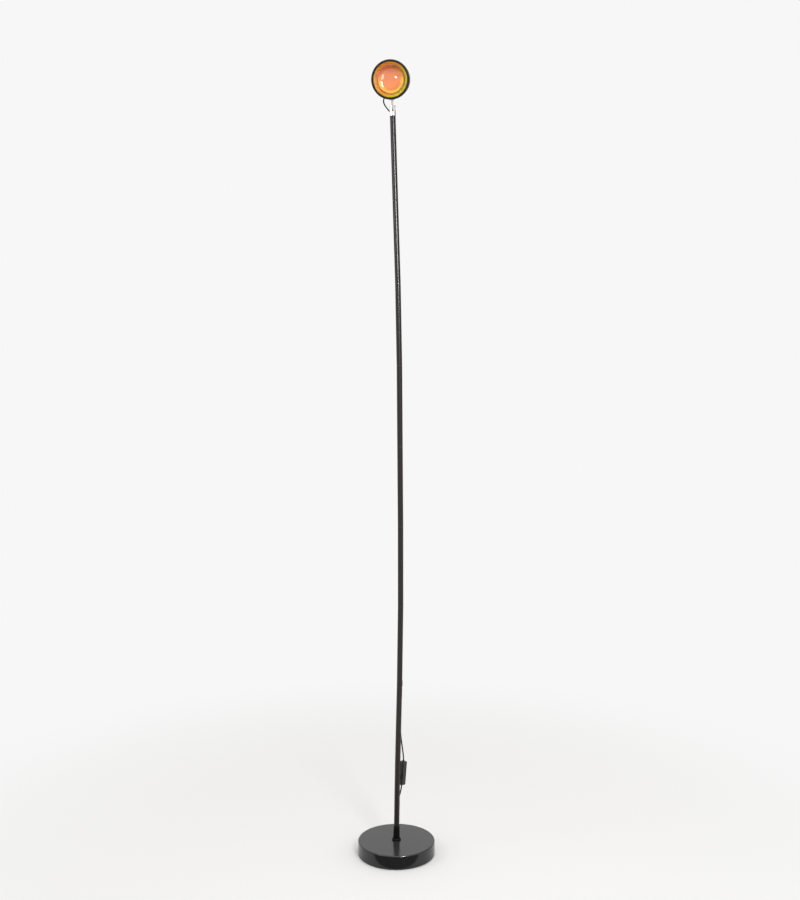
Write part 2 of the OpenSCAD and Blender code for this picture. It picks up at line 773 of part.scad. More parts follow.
module spindle_cable() {
    color("#151515") at_swivel() {
        translate([0, 0, spindle_foot]) cylinder(d = lead_d, h = lead_hole_z - spindle_foot);
        translate(fork_hole) sphere(d = lead_d);
        bar(fork_hole, fork_exit, lead_d);
    }
}

module hinge_screw() {
    seat = fork_d / 2 - pocket_depth;
    color("silver") at_swivel() translate([0, 0, pin_h]) rotate([0, 90, 0]) {
        translate([0, 0, pocket_depth - fork_d / 2])
            cylinder(d = hinge_screw_d, h = fork_d - 2 * pocket_depth + small);
        translate([0, 0, -seat - hinge_nut_h]) cylinder(d = hinge_screw_d, h = hinge_nut_h + small);
        difference() {
            translate([0, 0, seat]) cylinder(d = hinge_head_d, h = hinge_head_h);
            translate([0, 0, seat + hinge_head_h / 2]) cylinder(d = 2.5, h = hinge_head_h, $fn = 6);
        }
    }
}

module hinge_nut() {
    seat = fork_d / 2 - pocket_depth;
    color("silver") at_swivel() translate([-seat, 0, pin_h]) rotate([0, -90, 0])
        hex_nut(hinge_nut_flats, hinge_screw_d + 2 * thread_gap, hinge_nut_h);
}

module friction_washers() {
    color("white") at_swivel() translate([0, 0, pin_h]) rotate([0, 90, 0])
        for (side = [-1, 1]) translate([0, 0, side * (tongue_t / 2 + run_gap + friction_t / 2)])
            ring(2 * eye_r, hinge_screw_d + 2 * thread_gap, -friction_t / 2, friction_t / 2);
}

// ---- Lamp head ----

// The hinge pin, with +Z towards the middle of the lamp head
module at_hinge() {
    at_swivel() translate([0, 0, pin_h]) rotate([head_tilt, 0, 0]) children();
}

// The lamp head's own axis, with +Z the way the light goes and +Y up
module at_head() {
    at_hinge() translate([0, 0, head_rise]) rotate([90, 0, 0]) children();
}

module hinge_tongue() {
    foot_z = head_rise - can_r - saddle_t;
    color("#b9b4ac") at_hinge() difference() {
        union() {
            rotate([0, 90, 0]) cylinder(r = eye_r, h = tongue_t, center = true);
            translate([-tongue_t / 2, -tongue_w / 2, 0]) cube([tongue_t, tongue_w, foot_z + 1]);
            translate([-saddle_w / 2, -saddle_l / 2, foot_z]) cube([saddle_w, saddle_l, 2 * saddle_t]);
        }
        translate([0, saddle_l, head_rise]) rotate([90, 0, 0])
            cylinder(r = can_r + thread_gap, h = 2 * saddle_l, $fn = 128);
        rotate([0, 90, 0])
            cylinder(d = hinge_screw_d + 2 * thread_gap, h = 2 * tongue_t, center = true);
        saddle_screw_places() translate([0, 0, foot_z - 1]) cylinder(d = m3_hole_d, h = 3 * saddle_t);
    }
}

module saddle_screw_places() {
    for (side = [-1, 1]) translate([0, side * saddle_pitch / 2, 0]) children();
}

module tongue_screws() {
    foot_z = head_rise - can_r - saddle_t;
    color("silver") at_hinge() saddle_screw_places() {
        translate([0, 0, foot_z - 1.4]) cylinder(d = screw_head_d, h = 1.4);
        translate([0, 0, foot_z - small]) cylinder(d = m3_d, h = saddle_t + can_t + 1.4);
    }
}

// The radial hole for the lead, out of the can's underside
module at_lead_exit() {
    translate([0, 0, -lead_back]) rotate([0, 0, -90 - lead_side]) rotate([0, 90, 0]) children();
}

module cap_screw_places() {
    for (turn = [30, 150, 270]) rotate([0, 0, turn]) translate([0, 0, cap_screw_z])
        rotate([0, 90, 0]) children();
}

module head_can() {
    color("#222224") at_head() difference() {
        ring(can_d, 2 * can_inner_r, -can_back, can_front, $fn = 128);
        rotate([90, 0, 0]) for (side = [-1, 1])
            translate([0, side * saddle_pitch / 2, 0]) cylinder(d = m3_hole_d, h = can_d);
        at_lead_exit() cylinder(d = grommet_neck_d + 2 * thread_gap, h = can_d);
        cap_screw_places() cylinder(d = m3_hole_d, h = can_d);
    }
}

module bezel() {
    r = bezel_d / 2;
    edge = 1.2;
    color("#1c1c1e") at_head() rotate_extrude($fn = 128) difference() {
        turned_block(r, bezel_foot, face_reach, edge);
        translate([0, bezel_foot - 1]) square([bezel_bore_d / 2, lip_back - bezel_foot + 1]);
        translate([0, bezel_foot]) square([aperture_d / 2, face_reach]);
    }
}

module rear_cap() {
    color("#222224") at_head() difference() {
        union() {
            mirror([0, 0, 1]) rotate_extrude($fn = 128) difference() {
                turned_block(can_r, can_back, -cap_back, cap_edge_r);
                translate([0, can_back - 1])
                    turned_block(can_r - cap_t, 0, cap_l - cap_t + 1, cap_edge_r - cap_t);
            }
            ring(spigot_d, spigot_d - 3, -can_back - small, -can_back + spigot_l, $fn = 128);
            ring(can_d, spigot_d - 3, -can_back - 2, -can_back, $fn = 128);
        }
        for (i = [0:slot_count - 1]) {
            x = (i - (slot_count - 1) / 2) * slot_pitch;
            translate([x, 0, cap_back - 1]) linear_extrude(cap_t + 2)
                rounded_rect(slot_w, slot_l - abs(x), slot_w / 2 - small);
        }
        cap_screw_places() cylinder(d = m3_hole_d, h = can_d);
    }
}

module cap_screws() {
    color("silver") at_head() cap_screw_places() {
        translate([0, 0, spigot_d / 2 - 1.5]) cylinder(d = m3_d, h = can_r - spigot_d / 2 + 1.6);
        translate([0, 0, can_r + 0.1]) cylinder(d = 5, h = 1.3);
    }
}

module lens() {
    ball_r = (dome_d * dome_d / 4 + dome_h * dome_h) / (2 * dome_h);
    color("#ffd8b0") at_head() {
        translate([0, 0, flange_back]) cylinder(d = stack_d, h = flange_t, $fn = 96);
        rotate_extrude($fn = 96) intersection() {
            translate([0, flange_front + dome_h - ball_r]) circle(ball_r);
            translate([0, flange_front - small]) square([dome_d / 2, dome_h + 1]);
        }
    }
}

// Bright ring between the lens flange and the lip of the bezel
module lens_cone() {
    color("#e8c060") at_head() rotate_extrude($fn = 96) polygon([
        [cone_small_d / 2, flange_front],
        [stack_d / 2, flange_front],
        [stack_d / 2, lip_back],
        [aperture_d / 2, lip_back]
    ]);
}

module filter_disc() {
    color("#ff8a3c") at_head() translate([0, 0, can_front]) cylinder(d = stack_d, h = filter_t, $fn = 96);
}

// Bowl whose wide end sits in the mouth of the can
module reflector() {
    rim_r = can_inner_r - slip_gap;
    wide_r = cone_small_d / 2;
    deep = can_front - chip_face + 0.4;
    outer_r = wide_r + reflector_t;
    color("#e6e2da") at_head() translate([0, 0, can_front - deep]) rotate_extrude($fn = 96) polygon(concat(
        [for (a = [0:15:90]) bowl_point(throat_d / 2, wide_r, deep, a)],
        [[rim_r, deep], [rim_r, deep - reflector_t]],
        [for (a = [90:-15:0]) bowl_point(throat_d / 2 + reflector_t, outer_r, deep - reflector_t, a)]
    ));
}
function bowl_point(r0, r1, deep, a) = [r0 + (r1 - r0) * sin(a), deep * (1 - cos(a))];

module led_board() {
    color("white") at_head() {
        translate([0, 0, -sink_face]) cylinder(d = board_d, h = board_t);
        translate([0, 0, board_t - sink_face - small]) cylinder(d = chip_d, h = chip_h + small);
    }
}

module heat_sink() {
    color("silver") at_head() {
        translate([0, 0, -sink_face - sink_t]) cylinder(d = sink_d, h = sink_t, $fn = 96);
        for (i = [0:fin_count - 1]) {
            x = (i - (fin_count - 1) / 2) * fin_pitch;
            half = sqrt(pow(spigot_d / 2 - 3, 2) - x * x);
            translate([x - fin_t / 2, -half, -sink_face - sink_t - fin_l])
                cube([fin_t, 2 * half, fin_l + small]);
        }
    }
}

module lead_grommet() {
    color("#151515") at_head() at_lead_exit() difference() {
        union() {
            translate([0, 0, can_inner_r - 1])
                cylinder(d = grommet_neck_d, h = can_t + 1 + grommet_lift + small);
            translate([0, 0, can_r + grommet_lift]) cylinder(d = grommet_d, h = grommet_t);
        }
        translate([0, 0, can_inner_r - 2]) cylinder(d = lead_d + 0.1, h = can_t + 5);
    }
}

// Two wires from the grommet to the board, and the end of the lead that they leave
module led_wires() {
    inner = can_inner_r - 2;
    low = board_t - sink_face + wire_d / 2 + small;
    color("red") at_head() {
        at_lead_exit() translate([0, 0, inner])
            cylinder(d = lead_d, h = can_r + grommet_lift + grommet_t - inner);
        for (side = [-0.7, 0.7]) {
            start = inner * lead_exit_way + side * [cos(lead_side), -sin(lead_side), 0];
            turn = [0.8 * start[0], 0.8 * start[1], low];
            end = [0.38 * start[0], 0.38 * start[1], low];
            cord_along([start - [0, 0, lead_back], turn, end], wire_d, 6, [0, 0, 1]);
        }
    }
}

module head_lead() {
    color("#151515") cord_along(lead_route, lead_d, 8, [1, 0, 0]);
}

// ---- Switch on the cord ----

module at_switch() {
    translate(switch_at) rotate([0, switch_tip, 0]) rotate([0, 0, switch_turn]) children();
}

// Half of the case: side -1 is the front and 1 the back
module switch_half_case(side) {
    front = side < 0 ? -switch_half : 0;
    inner_l = switch_l - 2 * switch_end_l;
    difference() {
        translate([0, front + switch_half, 0]) rotate([90, 0, 0]) linear_extrude(switch_half)
            rounded_rect(switch_w, switch_l, switch_corner_r);
        translate([0, side < 0 ? 1 : switch_half - switch_wall, 0]) rotate([90, 0, 0])
            linear_extrude(side < 0 ? switch_half - switch_wall + 1 : switch_half - switch_wall + 1)
                rounded_rect(switch_w - 2 * switch_wall, inner_l, 1);
        translate([0, 0, -switch_l]) cylinder(d = 2, h = 2 * switch_l);
        switch_screw_places() translate([0, 0, -switch_t]) cylinder(d = 2.1, h = switch_t + 3);
        if (side > 0) switch_screw_places()
            translate([0, 0, -switch_half - 1]) cylinder(d = 4.2, h = 2.2);
    }
}

module switch_screw_places() {
    for (end = [-1, 1]) translate([end * 4, 0, end * (switch_l / 2 - switch_end_l / 2)])
        rotate([90, 0, 0]) children();
}

module switch_front() {
    ear = 1.2;
    color("#1b1b1b") at_switch() {
        difference() {
            switch_half_case(-1);
            translate([-window_w / 2, -switch_half - 1, -window_l / 2])
                cube([window_w, switch_wall + 2, window_l]);
        }
        for (side = [-1, 1]) difference() {
            translate([side * (switch_w / 2 - switch_wall - ear / 2) - ear / 2, pivot_y - 1.4, -2.5])
                cube([ear, -pivot_y + 1.4, 5]);
            translate([-switch_w, pivot_y, 0]) rotate([0, 90, 0])
                cylinder(d = pivot_d + 2 * thread_gap, h = 2 * switch_w);
        }
    }
}

module switch_back() {
    color("#1b1b1b") at_switch() switch_half_case(1);
}

module switch_rocker() {
    half = rocker_l / 2;
    rise = half * tan(rocker_lean);
    face = -pivot_depth - 0.2;
    color("#101010") at_switch() translate([0, pivot_y, 0]) rotate([-rocker_lean, 0, 0]) {
        rotate([90, 0, 90]) linear_extrude(rocker_w, center = true) polygon([
            [face - rise, -half], [face, 0], [face - rise, half],
            [0.4, half], [1.6, 3], [1.6, -3], [0.4, -half]
        ]);
        rotate([0, 90, 0]) cylinder(d = pivot_d, h = switch_w - 2 * switch_wall - 0.4, center = true);
    }
}

module switch_screws() {
    color("silver") at_switch() switch_screw_places() {
        translate([0, 0, -switch_half + 0.2]) cylinder(d = 4, h = 1);
        translate([0, 0, -switch_half + 1]) cylinder(d = 2, h = switch_half + 1.6);
    }
}

module switch_contacts() {
    depth = 0.8;
    color("#c8a040") at_switch() for (side = [-1, 1])
        translate([side * contact_l / 10, switch_half - switch_wall - depth / 2, 0])
            cube([contact_w, depth, contact_l], center = true);
}

// ---- Cord outside the pole ----

module cord_upper() {
    color("#151515") cord_along(upper_route, cord_d, 8, [0, 1, 0]);
}

module cord_lower() {
    color("#151515") cord_along(lower_route, cord_d, 8, [1, 0, 0]);
}

module cord_hank() {
    color("#151515") cord_along(hank_route, cord_d, 6, [0, 0, 1]);
}

module cord_tail() {
    color("#151515") cord_along(tail_route, cord_d, 8, [0, 0, 1]);
}

// Flat band round the waist of the hank
module cord_tie() {
    drawn = waist_in * waist(tie_w / 2);
    rear = lane_r(1) - drawn + cord_d / 2 + seat_gap;
    front = lane_r(0.5) - drawn + cord_d / 2 + seat_gap;
    low = tie_t;
    high = tie_lift + cord_rest + layer_step + cord_d / 2 + seat_gap;
    color("#2a2a2a") translate(hank_at) translate([-tie_w / 2, (rear - front) / 2, (low + high) / 2])
        rotate([90, 0, 90]) linear_extrude(tie_w) difference() {
            rounded_rect(rear + front + 2 * tie_t, high - low + 2 * tie_t, tie_t + tie_corner_r);
            rounded_rect(rear + front, high - low, tie_corner_r);
        }
}

// ---- Plug ----

module at_plug() {
    translate(plug_at) rotate([0, 0, plug_turn]) rotate([90, 0, 90]) children();
}

module plug_grip() {
    color("#151515") at_plug() {
        cylinder(d1 = cord_d + 1, d2 = grip_h - 0.6, h = sleeve_l);
        translate([0, 0, sleeve_l]) linear_extrude(grip_l) rounded_rect(grip_w, grip_h, grip_r);
    }
}

module plug_shell() {
    color("silver") at_plug() translate([0, 0, sleeve_l + grip_l]) linear_extrude(shell_l) difference() {
        rounded_rect(shell_w, shell_h, 0.6);
        rounded_rect(shell_w - 2 * shell_t, shell_h - 2 * shell_t, 0.4);
    }
}

module plug_tongue() {
    color("white") at_plug() translate([0, -0.9, sleeve_l + grip_l]) linear_extrude(shell_l - 2)
        square([shell_w - 2 * shell_t - 0.6, 1.8], center = true);
}

base_cover();
base_weight();
base_plate();
base_pad();
base_washer();
base_nut();
foot_rod();
foot_collar();
foot_socket();
pole_tube(1);  // pole_tube_1
pole_tube(2);  // pole_tube_2
pole_tube(3);  // pole_tube_3
pole_tube(4);  // pole_tube_4
pole_tube(5);  // pole_tube_5
pole_tube(6);  // pole_tube_6
pole_tube(7);  // pole_tube_7
pole_tube(8);  // pole_tube_8
pole_tube(9);  // pole_tube_9
pole_connectors();
inner_cable();
cord_outlet();
top_bush();
glide_washer();
fork();
spindle();
lock_nut();
spindle_cable();
hinge_screw();
hinge_nut();
friction_washers();
hinge_tongue();
tongue_screws();
head_can();
bezel();
rear_cap();
cap_screws();
lens();
lens_cone();
filter_disc();
reflector();
led_board();
heat_sink();
lead_grommet();
led_wires();
head_lead();
cord_upper();
switch_front();
switch_back();
switch_rocker();
switch_screws();
switch_contacts();
cord_lower();
cord_hank();
cord_tie();
cord_tail();
plug_grip();
plug_shell();
plug_tongue();
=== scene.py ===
# %% [markdown]
# A tall, slim sunset projection lamp: a heavy round base, a bowed pole of nine
# screwed tubes, a polished fork that tilts and turns, and a round projector head
# with a glass dome. The mechanical model is loaded as a fixed frame, and this
# script gives each of its pieces the look of the real one. The scene is in metres,
# +Z is up, and the lamp faces -Y. The lamp's own sizes are written in millimetres,
# as on a drawing, and are scaled when each piece is finished.

# %% Load the frame
import json
import math

import bmesh
import bpy
from mathutils import Matrix, Vector


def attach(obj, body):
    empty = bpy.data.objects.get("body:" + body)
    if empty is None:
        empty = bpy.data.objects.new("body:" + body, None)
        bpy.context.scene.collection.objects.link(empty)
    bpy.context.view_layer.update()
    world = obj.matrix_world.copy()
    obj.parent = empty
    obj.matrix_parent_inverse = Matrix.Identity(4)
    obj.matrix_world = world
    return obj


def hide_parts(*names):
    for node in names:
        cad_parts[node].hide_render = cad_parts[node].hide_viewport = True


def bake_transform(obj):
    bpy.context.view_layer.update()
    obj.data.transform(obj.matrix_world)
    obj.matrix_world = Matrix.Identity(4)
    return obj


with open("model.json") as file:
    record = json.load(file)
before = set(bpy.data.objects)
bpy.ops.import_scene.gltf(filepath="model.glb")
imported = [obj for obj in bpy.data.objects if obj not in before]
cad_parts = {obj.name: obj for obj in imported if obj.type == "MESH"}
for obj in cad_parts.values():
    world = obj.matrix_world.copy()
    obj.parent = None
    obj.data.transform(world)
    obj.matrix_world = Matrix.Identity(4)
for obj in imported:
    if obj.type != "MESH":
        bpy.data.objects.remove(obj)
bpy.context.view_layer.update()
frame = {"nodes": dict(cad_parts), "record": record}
nodes = frame["nodes"]
slot_of = {part["node"]: part["material_slot"] for part in frame["record"]["subparts"]}
body_of = {
    node: body
    for body, members in frame["record"]["behaviour"]["bodies"].items()
    for node in members
}
MM = 0.001

# %% [markdown]
# The photograph was taken from about two and a half metres in front of the lamp,
# a little above half its height, with the camera tipped down slightly. A lens is
# set here in millimetres on a 36 mm sensor, as on a real camera, so that the
# perspective of the tall pole comes out the same.

# %% Camera
LENS_LENGTH = 44.8
SENSOR_WIDTH = 36
CAMERA_PLACE = (0.0084, -2.548, 1.169)
CAMERA_DIP = math.radians(4.86)
scene = bpy.context.scene
camera = bpy.data.objects.new("camera", bpy.data.cameras.new("camera"))
camera.data.lens = LENS_LENGTH
camera.data.sensor_width = SENSOR_WIDTH
camera.location = CAMERA_PLACE
camera.rotation_euler = (math.radians(90) - CAMERA_DIP, 0, 0)
scene.collection.objects.link(camera)
scene.camera = camera
scene.view_settings.view_transform = "Standard"
print("camera", tuple(round(x, 3) for x in camera.location))

# %% [markdown]
# A cord is drawn as a curve through the points that it really passes, with a
# round bevel for its thickness. It could also be a profile swept along a path, but
# a bevelled curve keeps its points, so the cord can be moved later. Automatic
# handles give one smooth line, as a springy plastic cord takes. The bevel is one
# unit deep and each point's radius sets the real thickness.

# %% A cord as a bevelled curve
CORD_D = 3.2 * MM
LEAD_D = 3.0 * MM


def cord_curve(name, points, diameter):
    data = bpy.data.curves.new(name, "CURVE")
    data.dimensions = "3D"
    data.resolution_u = 5
    data.bevel_depth = 1
    data.bevel_resolution = 3
    data.use_fill_caps = True
    spline = data.splines.new("BEZIER")
    spline.bezier_points.add(len(points) - 1)
    for knot, point in zip(spline.bezier_points, points):
        knot.co = Vector(point) * MM
        knot.handle_left_type = knot.handle_right_type = "AUTO"
        knot.radius = diameter / 2
    curve = bpy.data.objects.new(name, data)
    scene.collection.objects.link(curve)
    return curve


def route_length(points):
    return sum((Vector(b) - Vector(a)).length for a, b in zip(points, points[1:])) * MM


print("cord", CORD_D, "m thick, lead", LEAD_D, "m thick")

# %% [markdown]
# The pole bows because each of its nine tubes leans a little. The same chain of
# frames that the mechanical model uses places the outlet, the swivel on top and
# the lamp head. A turned piece can then be made upright, which is easy, and set in
# place by one matrix.

# %% Frames along the pole and up to the lamp head
BASE_H = 33
COLLAR_H = 4.5
FOOT_TOP = BASE_H + COLLAR_H
SECTION_L = 184.5
SECTION_LEAN = (-0.95, -1.35, -0.75, 0.05, 0.4, 0.4, 1.05, 1.8, 1.75)
FORK_FOOT = 1.55
FORK_H = 22
PIN_BELOW_TOP = 7
PIN_H = FORK_FOOT + FORK_H - PIN_BELOW_TOP
HEAD_RISE = 62
PAN_AT_REST = -4
TILT_AT_REST = 13


def shift(x, y, z):
    return Matrix.Translation((x, y, z))


def turn(degrees, axis):
    return Matrix.Rotation(math.radians(degrees), 4, axis)


tube_frames = []
upward = shift(0, 0, FOOT_TOP)
for lean in SECTION_LEAN:
    tube_frames.append(upward @ turn(-lean, "Y"))
    upward = shift(*(tube_frames[-1] @ Vector((0, 0, SECTION_L))))
pole_top = tube_frames[-1] @ shift(0, 0, SECTION_L)
swivel_frame = pole_top @ turn(PAN_AT_REST, "Z")
hinge_frame = swivel_frame @ shift(0, 0, PIN_H) @ turn(TILT_AT_REST, "X")
head_frame = hinge_frame @ shift(0, 0, HEAD_RISE) @ turn(90, "X")
print("pole top at", tuple(round(x, 1) for x in pole_top.translation))

# %% [markdown]
# The cord comes out of a rubber outlet in the back of the pole and hangs beside it down to the hand
# switch. Its points are the ones that the frame's own cord follows, listed as (x, y) at equal steps
# of height.

# %% Route from the outlet to the switch
SWITCH_AT = Vector((14.3, 12, 189.7))
SWITCH_TIP = math.radians(4.2)
SWITCH_L = 56.5
STRAIGHT = 3.2
OUTLET_TUBE = 2
OUTLET_BEND_H = 13.6
CORD_START_H = -8.6
CORD_START_OUT = Vector((3.7, 8.4, 0))
FIRST_STRAIGHT = 7.6
STEPS_OUTSIDE_LIST = 2.6
switch_axis = Vector((math.sin(SWITCH_TIP), 0, math.cos(SWITCH_TIP)))
switch_top = SWITCH_AT + SWITCH_L / 2 * switch_axis
switch_foot = SWITCH_AT - SWITCH_L / 2 * switch_axis
outlet_bend = tube_frames[OUTLET_TUBE] @ Vector((0, 0, OUTLET_BEND_H))
cord_start = tube_frames[OUTLET_TUBE] @ Vector((0, 0, CORD_START_H)) + CORD_START_OUT
upper_hang = [
    (12, 12.3), (11.8, 12.8), (11.4, 12.8), (11, 12.7), (10.6, 12.6), (10.3, 12.5), (10, 12.4),
    (9.7, 12.3), (9.5, 12.2), (9.3, 12.1), (9.3, 12.1), (9.4, 12), (9.8, 12), (10.4, 12),
    (11.2, 12), (12.2, 12), (13.3, 12), (14.4, 12), (15.4, 12), (16.2, 12),
]
upper_drop = (cord_start.z - switch_top.z) / (len(upper_hang) + STEPS_OUTSIDE_LIST)
upper_route = [
    cord_start, cord_start + FIRST_STRAIGHT * (cord_start - outlet_bend).normalized(),
    *((x, y, cord_start.z - (step + 2) * upper_drop) for step, (x, y) in enumerate(upper_hang)),
    switch_top + STRAIGHT * switch_axis, switch_top,
]
print("from outlet to switch", round(route_length(upper_route), 3), "m")

# %% [markdown]
# Below the switch the cord passes behind the pole, lies over the top of the base
# and drops off its back edge to the floor. The points over the base are given as
# heights above it, so they would follow a base of another height.

# %% Route from the switch to the hank
over_base = [
    (0.9, 16.6, 39), (0.8, 18.8, 31.2), (0.6, 22.6, 23.6), (0.5, 27.5, 17),
    (0.4, 33.4, 11.4), (0.3, 40, 7.2), (0.2, 47.2, 4.2), (0.1, 55, 2.4),
    (0, 63, 1.8), (0, 71, 1.75), (0, 79, 1.8), (0, 86.8, 1.9),
    (0.1, 93.6, 0.6), (0.4, 99.5, -3),
]
lower_route = [
    switch_foot, switch_foot - STRAIGHT * switch_axis,
    (11.3, 12, 152.6), (10, 12.1, 146), (8.2, 12.3, 138.8),
    (6.3, 12.6, 131.4), (4.7, 12.9, 123.8), (3.4, 13.2, 116), (2.5, 13.5, 108),
    (1.9, 13.8, 100), (1.5, 14.1, 92), (1.2, 14.6, 84.6), (1.0, 15.4, 78),
    *((x, y, BASE_H + height) for x, y, height in over_base),
    (1.1, 104.8, 25), (2.6, 110, 20), (5.2, 115.3, 15.7), (8.6, 120.4, 12.2),
    (12.6, 125.2, 9.5), (17.4, 129.2, 7.1),
]
print("from switch to floor", round(route_length(lower_route), 3), "m")

# %% [markdown]
# The photograph shows only the first stretch of the cord, so the rest is put away
# as for storage: a hank folded to and fro behind the base, where the camera can't
# see it, in two layers and drawn in at its waist by a flat tie. Placing its loops
# by hand would take hundreds of points. They come from a rule instead, so the same
# loops can be made longer or wider by one number.

# %% The hank's loops by rule
HANK_RUN = 62
FOLD_R = 9.6
TURNS = 3
LANE_STEP = 3.85
LAYER_STEP = 3.7
WAIST_IN = 5
TIE_LIFT = 0.85
CORD_REST = 1.65
LOOP_STEPS = 24
RUN_SHARE = 2.5 / LOOP_STEPS
FOLD_SHARE = 7 / LOOP_STEPS


def waist(x):
    return (1 + math.cos(2 * math.pi * x / HANK_RUN)) / 2


def lane_r(loop):
    return FOLD_R + LANE_STEP * abs(TURNS - loop)


def layer_z(loop):
    share = max(0, min(1, (TURNS + RUN_SHARE - loop) / (2 * RUN_SHARE)))
    return CORD_REST + LAYER_STEP * share * share * (3 - 2 * share)


def run_point(x, side, loop):
    y = side * (lane_r(loop) - WAIST_IN * waist(x))
    return Vector((x, y, layer_z(loop) + TIE_LIFT * waist(x)))


def fold_point(side, angle, loop):
    r = lane_r(loop)
    x = side * HANK_RUN / 2 + r * math.cos(math.radians(angle))
    return Vector((x, r * math.sin(math.radians(angle)), layer_z(loop)))


def hank_point(loop):
    """Place on the hank after so many loops, which needn't be a whole number."""
    part = loop - math.floor(loop)
    half = HANK_RUN / 2
    if part <= RUN_SHARE:
        return run_point(half * part / RUN_SHARE, 1, loop)
    if part <= RUN_SHARE + FOLD_SHARE:
        return fold_point(1, 90 - 180 * (part - RUN_SHARE) / FOLD_SHARE, loop)
    if part <= 3 * RUN_SHARE + FOLD_SHARE:
        return run_point(half * (0.5 - part) / RUN_SHARE, -1, loop)
    if part <= 1 - RUN_SHARE:
        return fold_point(-1, -90 - 180 * (part - 0.5 - RUN_SHARE) / FOLD_SHARE, loop)
    return run_point(half * (part - 1) / RUN_SHARE, 1, loop)


print("one loop is made of", LOOP_STEPS, "points")

# %% [markdown]
# The hank lies flat on the floor close behind the base. Its last end runs into the
# plug, which lies beside the fold, along the edge of the base.

# %% The hank in its place and the end with the plug
HANK_AT = Vector((0, 110.5, 0))
PLUG_AT = Vector((-50, 86.2, 3.75))
PLUG_TURN = math.radians(218)
hank_steps = round((2 * TURNS - 0.5) * LOOP_STEPS)
hank_loops = [
    HANK_AT + hank_point(RUN_SHARE + step / LOOP_STEPS) for step in range(hank_steps + 1)
]
hank_start = hank_loops[0] - Vector((STRAIGHT, 0, 0))
hank_end = hank_loops[-1] - Vector((STRAIGHT, 0, 0))
plug_way = Vector((math.cos(PLUG_TURN), math.sin(PLUG_TURN), 0))
tail_route = [
    hank_end, hank_end - Vector((STRAIGHT, 0, 0)), (-42.4, 90.4, 2.7),
    PLUG_AT - STRAIGHT * plug_way, PLUG_AT,
]
print("hank of", len(hank_loops), "points")

# %% [markdown]
# The switch cuts the real cord in two, so there are two curves here: one from the
# outlet to the switch, and one from the switch to the plug. The second stands for
# three pieces of the frame, because one unbroken curve has no seams.

# %% Both cords
cord_to_switch = cord_curve("cord_to_switch", upper_route, CORD_D)
long_route = (
    lower_route + [hank_start - Vector((STRAIGHT, 0, 0)), hank_start]
    + hank_loops + [hank_end] + tail_route[1:]
)
cord_to_plug = cord_curve("cord_to_plug", long_route, CORD_D)
for piece, replaced in (
    (cord_to_switch, ["cord_upper"]),
    (cord_to_plug, ["cord_lower", "cord_hank", "cord_tail"]),
):
    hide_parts(*replaced)
    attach(piece, "stand")
print("cords", round(route_length(upper_route), 3), round(route_length(long_route), 3))

# %% [markdown]
# Materials and the room's light are trees of nodes. A few short helpers make the
# trees readable: one adds a node, one links two sockets, and one eases a value
# from 0 to 1 between two ends, which is how most patterns here fade.

# %% Helpers for nodes
def link(tree, source, target):
    tree.links.new(source, target)


def node_of(tree, kind, **values):
    made_node = tree.nodes.new(kind)
    for name, value in values.items():
        setattr(made_node, name, value)
    return made_node


def eased(tree, source, start, end, easing="SMOOTHSTEP"):
    """A value that goes from 0 at start to 1 at end."""
    spread = node_of(tree, "ShaderNodeMapRange", interpolation_type=easing)
    spread.inputs["From Min"].default_value = start
    spread.inputs["From Max"].default_value = end
    link(tree, source, spread.inputs["Value"])
    return spread.outputs[0]


def product(tree, first, second):
    times = node_of(tree, "ShaderNodeMath", operation="MULTIPLY")
    link(tree, first, times.inputs[0])
    link(tree, second, times.inputs[1])
    return times.outputs[0]


def mixed(tree, factor, first, second, blend_type="MIX"):
    """Two colours mixed. Each of the three can be a plain value or a socket."""
    blend = node_of(tree, "ShaderNodeMix", data_type="RGBA", blend_type=blend_type)
    for label, value in (("Factor", factor), ("A", first), ("B", second)):
        if isinstance(value, bpy.types.NodeSocket):
            link(tree, value, blend.inputs[label])
        else:
            blend.inputs[label].default_value = value
    return blend.outputs["Result"]


def seen_directly(tree):
    """1 for what the camera sees, also by gloss and through glass, and 0 for the rest."""
    paths = node_of(tree, "ShaderNodeLightPath")
    total = paths.outputs["Is Camera Ray"]
    for ray in ("Is Glossy Ray", "Is Transmission Ray"):
        add = node_of(tree, "ShaderNodeMath", operation="ADD", use_clamp=True)
        link(tree, total, add.inputs[0])
        link(tree, paths.outputs[ray], add.inputs[1])
        total = add.outputs[0]
    return total


print("node helpers ready")

# %% [markdown]
# The room is plain. The world shows an even pale grey to the camera, to gloss and
# to glass, and gives a softer light to everything else. Metal and glass then show
# the backdrop, and matt pieces aren't washed out. One strength for both would give
# either a grey picture or a pale lamp.

# %% The room's own light
BACKDROP = (0.93, 0.93, 0.93, 1)
ROOM_TINT = (1.0, 0.985, 0.965, 1)
ROOM_STRENGTH = 0.58
world = bpy.data.worlds.new("studio")
world.use_nodes = True
scene.world = world
tree = world.node_tree
tree.nodes.clear()
room_light = node_of(tree, "ShaderNodeBackground")
room_light.inputs["Color"].default_value = ROOM_TINT
room_light.inputs["Strength"].default_value = ROOM_STRENGTH
backdrop = node_of(tree, "ShaderNodeBackground")
backdrop.inputs["Color"].default_value = BACKDROP
pick = node_of(tree, "ShaderNodeMixShader")
link(tree, seen_directly(tree), pick.inputs[0])
link(tree, room_light.outputs[0], pick.inputs[1])
link(tree, backdrop.outputs[0], pick.inputs[2])
link(tree, pick.outputs[0], node_of(tree, "ShaderNodeOutputWorld").inputs[0])
print("room light", ROOM_STRENGTH)

# %% [markdown]
# The floor is a very wide disc, so that no edge of it shows. Near the lamp it is
# matt paint that takes the lamp's soft shadow. Further out it fades into the
# backdrop's own grey, so the picture has no horizon, as in a studio with a
# curved paper sheet.

